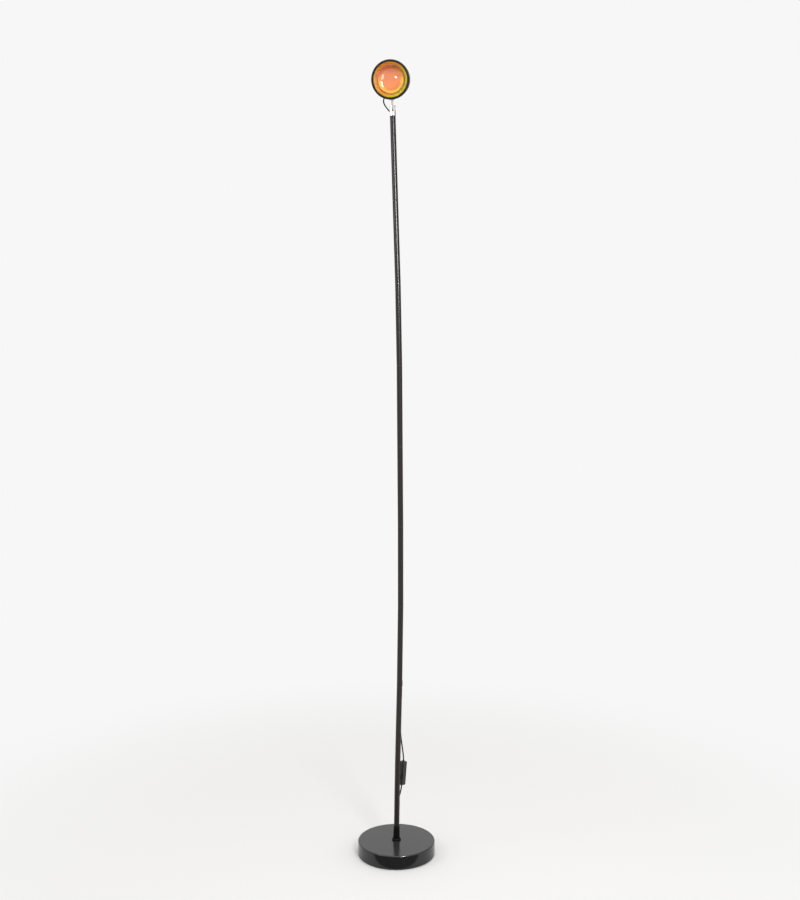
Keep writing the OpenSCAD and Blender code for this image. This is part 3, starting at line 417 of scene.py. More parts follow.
# %% Floor
FLOOR_R = 30
FADE_FROM, FADE_TO = 0.3, 1.5
floor_form = bmesh.new()
bmesh.ops.create_circle(floor_form, cap_ends=True, radius=FLOOR_R, segments=96)
floor_mesh = bpy.data.meshes.new("floor")
floor_form.to_mesh(floor_mesh)
floor_form.free()
floor = bpy.data.objects.new("floor", floor_mesh)
scene.collection.objects.link(floor)

floor_paint = bpy.data.materials.new("floor_paint")
floor_paint.use_nodes = True
tree = floor_paint.node_tree
paint = tree.nodes["Principled BSDF"]
paint.inputs["Base Color"].default_value = (0.97, 0.97, 0.97, 1)
paint.inputs["Roughness"].default_value = 0.85
paint.inputs["Specular IOR Level"].default_value = 0.0
glow = node_of(tree, "ShaderNodeEmission")
glow.inputs["Color"].default_value = BACKDROP
far = node_of(tree, "ShaderNodeVectorMath", operation="LENGTH")
link(tree, node_of(tree, "ShaderNodeTexCoord").outputs["Object"], far.inputs[0])
faded = eased(tree, far.outputs["Value"], FADE_FROM, FADE_TO)
mix = node_of(tree, "ShaderNodeMixShader")
link(tree, product(tree, faded, seen_directly(tree)), mix.inputs[0])
link(tree, paint.outputs[0], mix.inputs[1])
link(tree, glow.outputs[0], mix.inputs[2])
link(tree, mix.outputs[0], tree.nodes["Material Output"].inputs["Surface"])
floor_mesh.materials.append(floor_paint)
print("floor fades between", FADE_FROM, "and", FADE_TO, "m")

# %% [markdown]
# Large flat lamps give the soft light of a studio. The key lights the matt
# surfaces. The strip beside it is seen in gloss alone: it draws the narrow streak
# down the black tubes and a small light in the dome. The pair at the left does the
# same for the dome's other side, and the large one overhead lights the base. To
# part matt from gloss in this way isn't real, but it lets each be set by itself.

# %% Lights
HEAD_PLACE = (0, 0, 1.75)
POLE_PLACE = (0, 0, 1.5)


def soft_light(name, place, target, width, height, watts, matt=True, gloss=True):
    data = bpy.data.lights.new(name, "AREA")
    data.shape = "RECTANGLE"
    data.size, data.size_y = width, height
    data.energy = watts
    lamp = bpy.data.objects.new(name, data)
    lamp.location = place
    aim = (Vector(target) - Vector(place)).to_track_quat("-Z", "Y")
    lamp.rotation_euler = aim.to_euler()
    lamp.visible_diffuse, lamp.visible_glossy = matt, gloss
    scene.collection.objects.link(lamp)


soft_light("key", (0.82, -2.2, 1.95), POLE_PLACE, 0.5, 1.0, 20, gloss=False)
soft_light("strip", (0.86, -2.19, 1.82), POLE_PLACE, 0.35, 0.6, 80, matt=False)
soft_light("left_fill", (-1.9, -0.7, 1.9), HEAD_PLACE, 0.5, 0.5, 4, gloss=False)
soft_light("left_window", (-1.9, -1.35, 2.0), HEAD_PLACE, 0.7, 0.9, 14, matt=False)
soft_light("top", (0.3, -0.2, 3.4), (0, 0, 0), 1.8, 1.8, 28)
print(len(bpy.data.lights), "lights")

# %% [markdown]
# Chrome against a white backdrop has no edge. A photographer stands a black card
# just outside the picture, which draws a dark line down that side of the chrome.
# One card stands here at the right. A second lies on the floor in front of the
# base, so that the glossy side of the base shows its dark coat and not the floor.
# Both are seen in reflections only.

# %% Black cards at the right and in front
CARD_X = 1.5
FLOOR_CARD_Z = 0.001
card_form = bmesh.new()
for corners in (
    [(CARD_X, 0.1, 0.9), (CARD_X, 2.3, 0.9), (CARD_X, 2.3, 2.6), (CARD_X, 0.1, 2.6)],
    [(-0.3, -0.7, FLOOR_CARD_Z), (0.12, -0.7, FLOOR_CARD_Z),
     (0.12, -0.095, FLOOR_CARD_Z), (-0.3, -0.095, FLOOR_CARD_Z)],
):
    card_form.faces.new([card_form.verts.new(corner) for corner in corners])
card_mesh = bpy.data.meshes.new("card")
card_form.to_mesh(card_mesh)
card_form.free()
card = bpy.data.objects.new("card", card_mesh)
scene.collection.objects.link(card)
card.visible_camera = card.visible_diffuse = False
card.visible_shadow = card.visible_transmission = False
card_paint = bpy.data.materials.new("card_paint")
card_paint.use_nodes = True
card_shader = card_paint.node_tree.nodes["Principled BSDF"]
card_shader.inputs["Base Color"].default_value = (0.03, 0.03, 0.03, 1)
card_shader.inputs["Roughness"].default_value = 0.9
card_mesh.materials.append(card_paint)
print("cards with", len(card_mesh.polygons), "faces")

# %% [markdown]
# Real coatings are never quite even, so nearly every material shares one group:
# a fine grain that tips the normal, and a slow mottle that changes the roughness.
# A node group is built once and placed in each material with its own values.
# Positions come from object coordinates, which are metres here.

# %% Group for grain and mottle
GRAIN_DEPTH = 0.0001
MOTTLE_SCALE = 38


def new_group(name, inputs, outputs):
    group = bpy.data.node_groups.new(name, "ShaderNodeTree")
    for label, value in inputs:
        socket = group.interface.new_socket(
            label, in_out="INPUT", socket_type="NodeSocketFloat"
        )
        socket.default_value = value
    for label, kind in outputs:
        group.interface.new_socket(label, in_out="OUTPUT", socket_type=kind)
    return group, node_of(group, "NodeGroupInput"), node_of(group, "NodeGroupOutput")


grain_group, given, made = new_group(
    "surface_grain",
    [("Scale", 1500), ("Height", 0.1), ("Even", 0.3), ("Spread", 0.06)],
    [("Normal", "NodeSocketVector"), ("Roughness", "NodeSocketFloat")],
)
place = node_of(grain_group, "ShaderNodeTexCoord").outputs["Object"]
fine = node_of(grain_group, "ShaderNodeTexNoise")
fine.inputs["Detail"].default_value = 3
link(grain_group, place, fine.inputs["Vector"])
link(grain_group, given.outputs["Scale"], fine.inputs["Scale"])
bump = node_of(grain_group, "ShaderNodeBump")
bump.inputs["Distance"].default_value = GRAIN_DEPTH
link(grain_group, given.outputs["Height"], bump.inputs["Strength"])
link(grain_group, fine.outputs["Fac"], bump.inputs["Height"])
link(grain_group, bump.outputs["Normal"], made.inputs["Normal"])
slow = node_of(grain_group, "ShaderNodeTexNoise")
slow.inputs["Scale"].default_value = MOTTLE_SCALE
slow.inputs["Detail"].default_value = 5
link(grain_group, place, slow.inputs["Vector"])
centred = node_of(grain_group, "ShaderNodeMath", operation="SUBTRACT")
centred.inputs[1].default_value = 0.5
link(grain_group, slow.outputs["Fac"], centred.inputs[0])
swing = node_of(grain_group, "ShaderNodeMath", operation="MULTIPLY_ADD")
link(grain_group, centred.outputs[0], swing.inputs[0])
link(grain_group, given.outputs["Spread"], swing.inputs[1])
link(grain_group, given.outputs["Even"], swing.inputs[2])
link(grain_group, swing.outputs[0], made.inputs["Roughness"])
print("grain group of", len(grain_group.nodes), "nodes")

# %% [markdown]
# A little dust lies on faces that look up, thicker in some patches. It lightens a
# black coat slightly and dulls it. The mask is the upward part of the normal,
# eased so that steep faces stay clean, times a patchy noise.

# %% Group for settled dust
DUST_FROM_UPWARD = 0.3
dust_group, given, made = new_group(
    "settled_dust", [("Amount", 0.1)], [("Mask", "NodeSocketFloat")]
)
up = node_of(dust_group, "ShaderNodeSeparateXYZ")
link(dust_group, node_of(dust_group, "ShaderNodeNewGeometry").outputs["Normal"], up.inputs[0])
level = eased(dust_group, up.outputs["Z"], DUST_FROM_UPWARD, 1)
patches = node_of(dust_group, "ShaderNodeTexNoise")
for label, value in (("Scale", 60), ("Detail", 8), ("Roughness", 0.7)):
    patches.inputs[label].default_value = value
dust_place = node_of(dust_group, "ShaderNodeTexCoord").outputs["Object"]
link(dust_group, dust_place, patches.inputs["Vector"])
lie = product(dust_group, level, patches.outputs["Fac"])
link(dust_group, product(dust_group, lie, given.outputs["Amount"]), made.inputs["Mask"])
print("dust group of", len(dust_group.nodes), "nodes")

# %% [markdown]
# One helper makes a principled material with that grain. `rough` is the mean
# roughness and `spread` how far the mottle moves it; `grain` is the fineness and
# strength of the bump. `dust` mixes a pale grey into the base colour by the dust
# mask. The materials are kept in a dictionary by the name of the finish that the
# mechanical model gives each piece.

# %% A material helper
DUST_COLOUR = (0.32, 0.31, 0.29, 1)
finishes = {}


def finish_of(name, colour, rough, spread=0.06, grain=(1500, 0.1), dust=0, **sockets):
    material = bpy.data.materials.new(name)
    material.use_nodes = True
    tree = material.node_tree
    shader = tree.nodes["Principled BSDF"]
    for label, value in sockets.items():
        shader.inputs[label.replace("_", " ")].default_value = value
    surface = node_of(tree, "ShaderNodeGroup", node_tree=grain_group)
    for label, value in zip(("Scale", "Height", "Even", "Spread"), (*grain, rough, spread)):
        surface.inputs[label].default_value = value
    link(tree, surface.outputs["Normal"], shader.inputs["Normal"])
    link(tree, surface.outputs["Roughness"], shader.inputs["Roughness"])
    shader.inputs["Base Color"].default_value = (*colour, 1)
    if dust:
        mask = node_of(tree, "ShaderNodeGroup", node_tree=dust_group)
        mask.inputs["Amount"].default_value = dust
        coat = mixed(tree, mask.outputs["Mask"], (*colour, 1), DUST_COLOUR)
        link(tree, coat, shader.inputs["Base Color"])
    finishes[name] = material
    return material


print("material helper ready")

# %% [markdown]
# The base and the tubes are coated black, the base more glossy than the tubes. The collar and
# socket at the pole's foot look darker still, as they reflect the dark base and get little light so
# close above it, so they get a black of their own, which is painted shade. Switch, plug and cord
# are moulded plastic or rubber, which is duller.

# %% Painted, moulded and rubber finishes
finish_of(
    "powder_coat_black", (0.014, 0.014, 0.015), rough=0.17, spread=0.05,
    grain=(900, 0.16), dust=0.09,
)
# Painted shade: the base's own coat, made darker for the shade at the pole's foot.
painted_foot_shade = finish_of(
    "painted_foot_shade", (0.002, 0.002, 0.002), rough=0.3, spread=0.05,
    grain=(900, 0.1), Specular_IOR_Level=0.2,
)
finish_of(
    "pole_black", (0.025, 0.0205, 0.0175), rough=0.24, spread=0.05,
    grain=(1100, 0.05), dust=0.04, Specular_IOR_Level=0.25,
)
finish_of("cast_iron", (0.09, 0.085, 0.08), rough=0.75, spread=0.2, grain=(500, 0.6))
finish_of("foam_pad", (0.02, 0.02, 0.02), rough=0.95, spread=0.1, grain=(2200, 0.8))
finish_of("white_plastic", (0.78, 0.77, 0.74), rough=0.4, grain=(1500, 0.05))
finish_of(
    "black_rubber", (0.018, 0.018, 0.018), rough=0.62, spread=0.1,
    grain=(1300, 0.2), dust=0.15,
)
finish_of(
    "cord_sheath", (0.007, 0.0065, 0.0065), rough=0.5, spread=0.1,
    grain=(1700, 0.15), dust=0.03, Specular_IOR_Level=0.2,
)
finish_of("wire_red", (0.5, 0.02, 0.015), rough=0.42, spread=0.08, grain=(1500, 0.05))
finish_of(
    "switch_black", (0.013, 0.013, 0.014), rough=0.46, spread=0.07,
    grain=(2600, 0.3), dust=0.1,
)
print(len(finishes), "finishes")

# %% [markdown]
# Bare metals have a full Metallic value and take their colour from the metal
# itself. The head is anodised: a dark, fine-grained skin on aluminium, which looks
# more like satin paint than like metal, so its Metallic value stays at 0.

# %% Metal finishes
finish_of(
    "zinc_steel", (0.62, 0.63, 0.64), rough=0.32, spread=0.14,
    grain=(1400, 0.15), Metallic=1.0,
)
finish_of(
    "chrome_plate", (0.88, 0.88, 0.89), rough=0.07, spread=0.04,
    grain=(300, 0.02), Metallic=1.0,
)
finish_of(
    "anodised_black", (0.007, 0.005, 0.004), rough=0.4, grain=(2400, 0.1),
    dust=0.04, Specular_IOR_Level=0.2,
)
finish_of(
    "bare_aluminium", (0.46, 0.42, 0.38), rough=0.3, spread=0.12,
    grain=(900, 0.12), Metallic=1.0,
)
finish_of(
    "polished_aluminium", (0.88, 0.87, 0.86), rough=0.12, grain=(400, 0.03), Metallic=1.0,
)
finish_of(
    "brass_contact", (0.78, 0.56, 0.22), rough=0.28, spread=0.1,
    grain=(900, 0.08), Metallic=1.0,
)
print(len(finishes), "finishes")

# %% [markdown]
# The coated disc and the tinted cone change colour across their width. Three
# helpers lay such a pattern out: colours given as screen values, a ramp through
# several of them, and a place along one direction across the disc in millimetres.

# %% Helpers for colours that change across a piece
SCREEN_STEPS = 255
DARKEST_CURVED = 10.3


def srgb(red, green, blue):
    """Screen values, 0 to 255, as the linear colour that a shader takes."""
    return (*(
        value / SCREEN_STEPS / 12.92 if value < DARKEST_CURVED
        else ((value / SCREEN_STEPS + 0.055) / 1.055) ** 2.4
        for value in (red, green, blue)
    ), 1)


def ramp(tree, source, stops):
    """A colour ramp on one value, from (place, colour) pairs."""
    made_ramp = node_of(tree, "ShaderNodeValToRGB")
    marks = made_ramp.color_ramp.elements
    while len(marks) < len(stops):
        marks.new(0.5)
    for mark, (position, colour) in zip(marks, stops):
        mark.position = position
        mark.color = colour
    link(tree, source, made_ramp.inputs["Fac"])
    return made_ramp.outputs["Color"]


def along(tree, source, degrees, start, end):
    """Place along one direction across the disc, from 0 at start to 1 at end, in mm."""
    dot = node_of(tree, "ShaderNodeVectorMath", operation="DOT_PRODUCT")
    angle = math.radians(degrees)
    dot.inputs[1].default_value = (math.cos(angle), math.sin(angle), 0)
    link(tree, source, dot.inputs[0])
    return eased(tree, dot.outputs["Value"], start, end)


def own_place(tree):
    """Each point's place about the piece's own axis, in mm."""
    return node_of(tree, "ShaderNodeAttribute", attribute_name="own").outputs["Vector"]


print("mid grey is", round(srgb(128, 128, 128)[0], 3), "in linear light")

# %% [markdown]
# The coated disc splits the light, so its colour depends on where it is seen. In the photograph it
# is salmon in the middle, darker towards the top, with a yellow edge at the right and below, and
# round the dome it runs from orange at the upper left to yellow at the lower right. The darker top
# is painted shade, the yellow edge low in the dome is painted light, and the rim is painted paler
# at the left, where the lamps light it. A true thin film would need the angle of view, which isn't
# used here. The colours are laid out by each point's place about the head's own axis instead, with
# a slow noise that keeps the borders uneven.

# %% Group for the coating's colours, with painted light and shade
WANDER = 16
# This group holds the coating's colours and also painted light and painted shade.
coating_and_light_group, _, made = new_group("coating", [], [("Colour", "NodeSocketColor")])
own = own_place(coating_and_light_group)
wander = node_of(coating_and_light_group, "ShaderNodeTexNoise")
wander.inputs["Scale"].default_value = 0.05
link(coating_and_light_group, own, wander.inputs["Vector"])
sway = node_of(coating_and_light_group, "ShaderNodeVectorMath", operation="MULTIPLY_ADD")
sway.inputs[1].default_value = (WANDER, WANDER, 0)
link(coating_and_light_group, wander.outputs["Color"], sway.inputs[0])
link(coating_and_light_group, own, sway.inputs[2])
moved = sway.outputs[0]
rim = ramp(coating_and_light_group, along(coating_and_light_group, moved, -35, -30, 46), [
    (0, srgb(206, 92, 36)), (0.38, srgb(224, 98, 8)),
    (0.66, srgb(236, 122, 0)), (0.92, srgb(206, 164, 0)),
])
# Painted light: the rim is made paler at the left, where the lamps light it.
rim = mixed(coating_and_light_group, along(coating_and_light_group, own, 180, 16, 34), rim, srgb(246, 150, 84))
# The middle is painted darker towards the top, a painted shade, and yellower at the bottom, a
# painted light.
middle = ramp(coating_and_light_group, along(coating_and_light_group, moved, 90, -26, 38), [
    (0, srgb(216, 140, 46)), (0.12, srgb(200, 108, 36)),
    (0.55, srgb(200, 112, 60)), (0.85, srgb(192, 106, 58)), (1, srgb(160, 80, 26)),
])
print("rim and middle colours laid out")

# %% [markdown]
# The second half of the group works by the distance from the axis: the yellow edge low in the dome,
# which is painted light, the change from the middle to the rim, and a ring of painted shade where
# the dome's edge meets its flange and less light gets through.

# %% Painted light and shade in rings of the coating
WHITE = (1, 1, 1, 1)
RING_FROM, RING_TO = 20, 40
flat = node_of(coating_and_light_group, "ShaderNodeVectorMath", operation="MULTIPLY")
flat.inputs[1].default_value = (1, 1, 0)
link(coating_and_light_group, own, flat.inputs[0])
out = node_of(coating_and_light_group, "ShaderNodeVectorMath", operation="LENGTH")
link(coating_and_light_group, flat.outputs[0], out.inputs[0])
radius = out.outputs["Value"]
# Painted light: a yellow edge low and to the right in the dome.
lit_edge = product(
    coating_and_light_group, eased(coating_and_light_group, radius, 18, 27),
    along(coating_and_light_group, own, -75, -20, 12),
)
middle = mixed(coating_and_light_group, lit_edge, middle, srgb(236, 196, 70))
coat = mixed(coating_and_light_group, eased(coating_and_light_group, radius, 29.5, 27), rim, middle)
# Painted shade: a darker ring at the dome's edge, where less light gets through.
painted_edge_shade = ramp(coating_and_light_group, eased(coating_and_light_group, radius, RING_FROM, RING_TO, "LINEAR"), [
    (0.34, WHITE), (0.42, (0.5, 0.36, 0.1, 1)), (0.54, (0.52, 0.38, 0.1, 1)), (0.68, WHITE),
])
darker = mixed(coating_and_light_group, 1, coat, painted_edge_shade, "MULTIPLY")
link(coating_and_light_group, darker, made.inputs["Colour"])
print("coating group of", len(coating_and_light_group.nodes), "nodes")

# %% [markdown]
# The disc takes that pattern on glass that is mostly dull, since a mirror there would drown the
# colours. The cone is a thin bright metal skin, tinted from orange to yellow green as a painted
# reflection of the coated disc's colours, and painted paler at the left, a painted light where its
# slope faces the lamps at the right. The dome is plain glass.

# %% Coated glass, the tinted cone and clear glass
coated = finish_of(
    "coated_glass", (1, 0.5, 0.3), rough=0.5, spread=0.05,
    grain=(200, 0.02), Metallic=0.15, Specular_IOR_Level=0.3,
)
tree = coated.node_tree
pattern = node_of(tree, "ShaderNodeGroup", node_tree=coating_and_light_group)
link(tree, pattern.outputs["Colour"], tree.nodes["Principled BSDF"].inputs["Base Color"])
tinted = finish_of(
    "tinted_chrome", (1, 0.6, 0.1), rough=0.3, spread=0.05, grain=(300, 0.02), Metallic=0.4,
)
tree = tinted.node_tree
own = own_place(tree)
# Painted reflection: the tint stands for the coated disc's colours that the bright metal reflects.
warm = ramp(tree, along(tree, own, -30, -34, 34), [
    (0, srgb(255, 158, 40)), (0.4, srgb(255, 178, 20)),
    (0.7, srgb(255, 218, 10)), (1, srgb(248, 246, 10)),
])
# Painted light: the cone is made paler at the left, where its slope faces the lamps.
warm = mixed(tree, along(tree, own, 185, 20, 38), warm, srgb(255, 202, 110))
link(tree, warm, tree.nodes["Principled BSDF"].inputs["Base Color"])
finish_of(
    "clear_glass", (1, 0.985, 0.965), rough=0.012, spread=0.01, grain=(120, 0.01),
    Transmission_Weight=1.0, IOR=1.5,
)
print(len(finishes), "finishes")

# %% [markdown]
# Every mesh piece ends the same way: scaled to metres, set in place, tied to the
# node that it stands for and given that node's finish. A turned piece can also
# keep each point's upright place in the attribute "own", so that a pattern can be
# laid out round its axis. Weighted normals keep large flat faces flat beside
# their small bevels.

# %% How a mesh piece is finished
SHARP_FROM = 28


def finished(name, form, matrix, node, keep_own=False):
    """A mesh object from a bmesh in mm, standing for a node of the frame."""
    own_points = [vertex.co.copy() for vertex in form.verts]
    bmesh.ops.transform(form, matrix=Matrix.Scale(MM, 4) @ matrix, verts=form.verts)
    bmesh.ops.recalc_face_normals(form, faces=form.faces)
    mesh = bpy.data.meshes.new(name)
    form.to_mesh(mesh)
    form.free()
    if keep_own:
        kept = mesh.attributes.new("own", "FLOAT_VECTOR", "POINT")
        kept.data.foreach_set("vector", [value for point in own_points for value in point])
    piece = bpy.data.objects.new(name, mesh)
    scene.collection.objects.link(piece)
    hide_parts(node)
    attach(piece, body_of[node])
    mesh.materials.append(finishes[slot_of[node]])
    piece.modifiers.new("flat_faces_stay_flat", "WEIGHTED_NORMAL").keep_sharp = True
    return piece


def fold_of(edge):
    """The angle between an edge's two faces, or 0 where it has any other number."""
    return edge.calc_face_angle(0) if len(edge.link_faces) == 2 else 0


def smooth_with_edges(form):
    for face in form.faces:
        face.smooth = True
    for edge in form.edges:
        edge.smooth = len(edge.link_faces) != 2 or fold_of(edge) < math.radians(SHARP_FROM)


def rounded(form, over, round_by, segments):
    """Bevels every edge that folds by more than so many degrees."""
    sharp = [edge for edge in form.edges if fold_of(edge) > math.radians(over)]
    bmesh.ops.bevel(
        form, geom=sharp, offset=round_by, affect="EDGES", segments=segments, profile=0.5,
        material=-1, clamp_overlap=True,
    )


print("finishing ready")

# %% [markdown]
# Most outer pieces are round, as if made on a lathe: spun from a half profile and
# then set in place. The profile is given in millimetres as (radius, height), and
# its corners are rounded by a small bevel, since no real edge is perfectly sharp.
# A full spin leaves a seam of doubled points, so these are merged.

# %% Turned pieces
MERGE_WITHIN = 0.0005
LATHE_CORNER = 40


def turned(name, node, profile, matrix, round_by, segments=128, keep_own=False):
    form = bmesh.new()
    corners = [form.verts.new((radius, 0, height)) for radius, height in profile]
    outline = [form.edges.new((a, b)) for a, b in zip(corners, corners[1:] + corners[:1])
               if max(a.co.x, b.co.x) > 0]
    bmesh.ops.spin(
        form, geom=corners + outline, cent=(0, 0, 0), axis=(0, 0, 1),
        angle=2 * math.pi, steps=segments, use_merge=True,
    )
    bmesh.ops.remove_doubles(form, verts=form.verts, dist=MERGE_WITHIN)
    bmesh.ops.recalc_face_normals(form, faces=form.faces)
    rounded(form, LATHE_CORNER, round_by, segments=3)
    smooth_with_edges(form)
    return finished(name, form, matrix, node, keep_own)


def arc(centre_r, centre_h, radius, start, end, steps=8):
    """Points on an arc of a profile, from angle start to end in degrees."""
    angles = [math.radians(start + (end - start) * step / steps) for step in range(steps + 1)]
    return [(centre_r + radius * math.cos(a), centre_h + radius * math.sin(a)) for a in angles]


print("turning ready")

# %% [markdown]
# The base is a pressed steel cover with a rounded top edge over a cast iron disc.
# The cover is a thin shell, so its profile goes out along the outer face and back
# along the inner one.

# %% Base cover
COVER_R = 90
COVER_T = 1.2
COVER_ROUND = 2.5
COVER_FOOT = 1.5
COVER_HOLE_R = 5.25
upright = Matrix.Identity(4)
turned("cover", "base_cover", [
    (COVER_HOLE_R, BASE_H),
    *arc(COVER_R - COVER_ROUND, BASE_H - COVER_ROUND, COVER_ROUND, 90, 0),
    (COVER_R, COVER_FOOT), (COVER_R - COVER_T, COVER_FOOT),
    *arc(COVER_R - COVER_ROUND, BASE_H - COVER_ROUND, COVER_ROUND - COVER_T, 0, 90),
    (COVER_HOLE_R, BASE_H - COVER_T),
], upright, round_by=0.25, segments=192)
print("cover", 2 * COVER_R, "mm across")

# %% [markdown]
# The pole's foot stands in a low collar and a tapered socket, both turned. They keep the slot of
# the coating that they share with the base, but show the darker black, a painted shade for the dark
# that they take from the base below them.

# %% Collar and socket
ROD_HOLE_R = 5.05
COLLAR_R = 10.5
COLLAR_ROUND = 1.4
SOCKET_BORE_R = 6.6
SOCKET_FOOT, SOCKET_TOP = 0.25, 29.1
collar = turned("collar", "foot_collar", [
    (ROD_HOLE_R, BASE_H), (COLLAR_R, BASE_H),
    *arc(COLLAR_R - COLLAR_ROUND, FOOT_TOP - COLLAR_ROUND, COLLAR_ROUND, 0, 90),
    (ROD_HOLE_R, FOOT_TOP),
], upright, round_by=0.12)
socket = turned("socket", "foot_socket", [
    (SOCKET_BORE_R, SOCKET_FOOT), (7.75, SOCKET_FOOT), (7.72, 1), (7.0, SOCKET_TOP),
    (SOCKET_BORE_R, SOCKET_TOP),
], tube_frames[0], round_by=0.12)
# The collar and socket take the darker black, which paints the shade at the pole's foot.
for piece in (collar, socket):
    piece.data.materials[0] = painted_foot_shade
print("foot rises to", FOOT_TOP + SOCKET_TOP, "mm")

# %% [markdown]
# The nine tubes are equal, so a loop turns them all. Each end has a small chamfer,
# which draws the fine line that shows where two tubes meet.

# %% Nine tubes
TUBE_R = 6.35
TUBE_BORE_R = 5.35
TUBE_CHAMFER = 0.3
TUBE_END_GAP = 0.125
tube_low, tube_high = TUBE_END_GAP, SECTION_L - TUBE_END_GAP
for count, frame_of_tube in enumerate(tube_frames, 1):
    turned(f"tube_{count}", f"pole_tube_{count}", [
        (TUBE_BORE_R, tube_low), (TUBE_R - TUBE_CHAMFER, tube_low),
        (TUBE_R, tube_low + TUBE_CHAMFER), (TUBE_R, tube_high - TUBE_CHAMFER),
        (TUBE_R - TUBE_CHAMFER, tube_high), (TUBE_BORE_R, tube_high),
    ], frame_of_tube, round_by=0.12, segments=96)
print("pole of", len(tube_frames), "tubes")

# %% [markdown]
# The swivel on top of the pole: a bush that closes the tube and the pale washer
# that the fork turns on. The washer is thin, but its pale line parts the black
# pole from the polished fork.

# %% Bush and washer
BUSH_BORE_R = 4.05
BUSH_NECK_R = 5.3
BUSH_LIP = 1
BUSH_DEPTH = 14
WASHER_TOP = 1.5
turned("bush", "top_bush", [
    (BUSH_BORE_R, 0), (BUSH_BORE_R, BUSH_LIP), (TUBE_R, BUSH_LIP), (TUBE_R, 0),
    (BUSH_NECK_R, 0), (BUSH_NECK_R, -BUSH_DEPTH), (BUSH_BORE_R, -BUSH_DEPTH),
], pole_top, round_by=0.15, segments=96)
turned("washer", "glide_washer", [
    (BUSH_BORE_R, BUSH_LIP), (BUSH_BORE_R, WASHER_TOP), (TUBE_R, WASHER_TOP), (TUBE_R, BUSH_LIP),
], pole_top, round_by=0.1, segments=96)
print("swivel ready")

# %% [markdown]
# The head is a round can closed by a deeper front ring. Behind the ring's lip a
# bright cone holds the flange of the glass dome. Both are turned about the lamp
# head's own axis. Heights on it start straight above the hinge and grow towards
# the front.

# %% Front ring and bright cone
RING_R = 42
RING_BORE_R = 40.3
RING_ROUND = 1.2
RING_FOOT, LIP_BACK, FACE_FRONT = 9.5, 28, 30
OPENING_R = 36.9
CONE_SMALL_R, CONE_R = 32, 40
FLANGE_FRONT = 16.6
turned("front_ring", "bezel", [
    (RING_BORE_R, RING_FOOT), (RING_R, RING_FOOT),
    *arc(RING_R - RING_ROUND, FACE_FRONT - RING_ROUND, RING_ROUND, 0, 90),
    (OPENING_R, FACE_FRONT), (OPENING_R, LIP_BACK), (RING_BORE_R, LIP_BACK),
], head_frame, round_by=0.2, segments=192)
turned("bright_cone", "lens_cone", [
    (CONE_SMALL_R, FLANGE_FRONT), (CONE_R, FLANGE_FRONT), (CONE_R, LIP_BACK), (OPENING_R, LIP_BACK),
], head_frame, round_by=0.08, segments=192, keep_own=True)
print("ring", 2 * RING_R, "mm across")

# %% [markdown]
# The dome is a cap of a sphere on a flat flange, one solid piece of glass, and the
# coated disc lies under it. The sphere's radius follows from the dome's width and
# height, so the arc meets the flange whatever they are.

# %% Glass dome and coated disc
DOME_R, DOME_H = 28, 10
BALL_R = (DOME_R**2 + DOME_H**2) / (2 * DOME_H)
DOME_STEP = 0.4
GLASS_R = 39.95
GLASS_BACK, GLASS_RIM_FRONT = 14.62, 16.55
DISC_BACK, DISC_FRONT = 13.15, 14.58
lowest = math.degrees(math.asin((BALL_R - DOME_H) / BALL_R))
turned("glass_dome", "lens", [
    (0, GLASS_BACK), (GLASS_R, GLASS_BACK), (GLASS_R, GLASS_RIM_FRONT),
    (DOME_R + DOME_STEP, FLANGE_FRONT),
    *arc(0, FLANGE_FRONT + DOME_H - BALL_R, BALL_R, lowest, 90, 24),
], head_frame, round_by=0.15, segments=192, keep_own=True)
turned("coated_disc", "filter_disc", [
    (0, DISC_BACK), (GLASS_R, DISC_BACK), (GLASS_R, DISC_FRONT), (0, DISC_FRONT),
], head_frame, round_by=0.1, segments=192, keep_own=True)
print("dome is part of a ball of", round(BALL_R, 1), "mm")

# %% [markdown]
# The other pieces keep the shape that the mechanical model gives them. Each is a
# copy of its mesh: doubled points are merged, flat facets are joined, and every
# sharp edge gets a small rounded bevel, so that it catches the light. The copy is
# worked on in millimetres, as the turned pieces are.

# %% Pieces refined from the frame
CORNER = 34
COPY_MERGE_WITHIN = 0.002
FLAT_WITHIN = 0.6


def refined(node, round_by):
    form = bmesh.new()
    form.from_mesh(nodes[node].data)
    bmesh.ops.transform(form, matrix=Matrix.Scale(1 / MM, 4), verts=form.verts)
    bmesh.ops.remove_doubles(form, verts=form.verts, dist=COPY_MERGE_WITHIN)
    bmesh.ops.dissolve_limit(
        form, angle_limit=math.radians(FLAT_WITHIN), verts=form.verts, edges=form.edges
    )
    if round_by:
        rounded(form, CORNER, round_by, segments=2)
    bmesh.ops.remove_doubles(form, verts=form.verts, dist=MERGE_WITHIN)
    smooth_with_edges(form)
    return finished(node + "_shown", form, upright, node)


refined_rounds = {
    "cord_outlet": 0.3, "fork": 0.25, "hinge_tongue": 0.25, "hinge_screw": 0.15,
    "hinge_nut": 0.15, "tongue_screws": 0.15, "head_can": 0.12, "rear_cap": 0.2,
    "cap_screws": 0.2, "lead_grommet": 0.15, "switch_front": 0.25, "switch_back": 0.25,
    "switch_rocker": 0.2, "cord_tie": 0.12, "plug_grip": 0.4, "plug_shell": 0.1,
    "plug_tongue": 0.1, "base_pad": 0.4, "heat_sink": 0.1, "reflector": 0,
}
shown = {node: refined(node, round_by) for node, round_by in refined_rounds.items()}
print("refined", len(shown), "pieces")
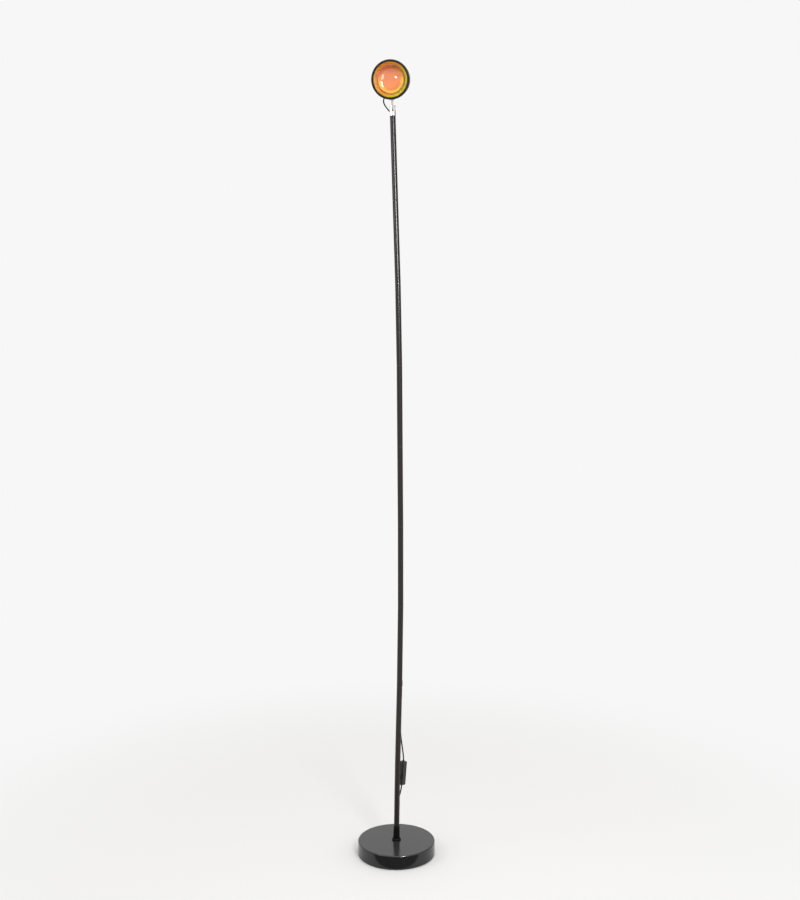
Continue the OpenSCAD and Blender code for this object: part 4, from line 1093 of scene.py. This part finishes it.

# %% [markdown]
# The head's lead leaves the can through a grommet, bows out to the left and goes into a hole in the
# fork. Both ends are worked out from the pieces that they enter, each with a short straight
# stretch, and the points between are listed.

# %% Route of the head's lead
LEAD_SIDE = 25
LEAD_EXIT_R = 41.75
LEAD_BACK = 8
HOLE_TURN = 110
HOLE_RISE = 20
HOLE_H = 5
HOLE_OUT = 7.15
lead_back_way = Vector((-math.sin(math.radians(LEAD_SIDE)), -math.cos(math.radians(LEAD_SIDE)), 0))
lead_exit = LEAD_EXIT_R * lead_back_way - Vector((0, 0, LEAD_BACK))
lead_start = head_frame @ lead_exit
lead_start_way = ((head_frame @ (lead_exit + lead_back_way)) - lead_start).normalized()
hole_way = turn(HOLE_TURN, "Z") @ turn(-HOLE_RISE, "Y") @ Vector((1, 0, 0))
hole_reach = HOLE_OUT / math.cos(math.radians(HOLE_RISE))
fork_exit = Vector((0, 0, FORK_FOOT + HOLE_H)) + hole_reach * hole_way
lead_end = swivel_frame @ fork_exit
lead_end_way = ((swivel_frame @ (fork_exit + hole_way)) - lead_end).normalized()
lead_route = [
    lead_start, lead_start + STRAIGHT * lead_start_way,
    *(swivel_frame @ Vector(point) for point in (
        (-19.6, 3.2, 32.7), (-17.9, 5.6, 27.8), (-15.6, 7.9, 23.8),
        (-12.8, 9.8, 20.1), (-9.7, 10.9, 16.4), (-6.8, 10.9, 12.9),
    )),
    lead_end + STRAIGHT * lead_end_way, lead_end,
]
print("lead", round(route_length(lead_route), 4), "m")

# %% [markdown]
# The lead is one smooth tube: its curve is turned into a mesh, and the curve is then removed.

# %% The head's lead
lead_curve = cord_curve("lead_curve", lead_route, LEAD_D)
depsgraph = bpy.context.evaluated_depsgraph_get()
lead_mesh = bpy.data.meshes.new_from_object(lead_curve.evaluated_get(depsgraph))
lead = bpy.data.objects.new("lead", lead_mesh)
lead_mesh.name = "lead"
scene.collection.objects.link(lead)
bpy.data.objects.remove(lead_curve)
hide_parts("head_lead")
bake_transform(lead)
print("lead of", len(lead_mesh.polygons), "faces")

# %% [markdown]
# Every piece that is still the frame's own, most of them inside the lamp, gets
# the finish that its record names. They show when the lamp is taken apart.

# %% Finishes for the pieces left as they are
lead_mesh.materials.append(finishes[slot_of["head_lead"]])
for cord_piece in (cord_to_switch, cord_to_plug):
    cord_piece.data.materials.append(finishes["cord_sheath"])
for node, piece in nodes.items():
    piece.data.materials.clear()
    piece.data.materials.append(finishes[slot_of[node]])
print("finishes on", len(nodes), "nodes of the frame")

# %% [markdown]
# A cord is soft, so what it is made of matters as much as its shape; the cords were given their
# sheath above.


print("cords finished")
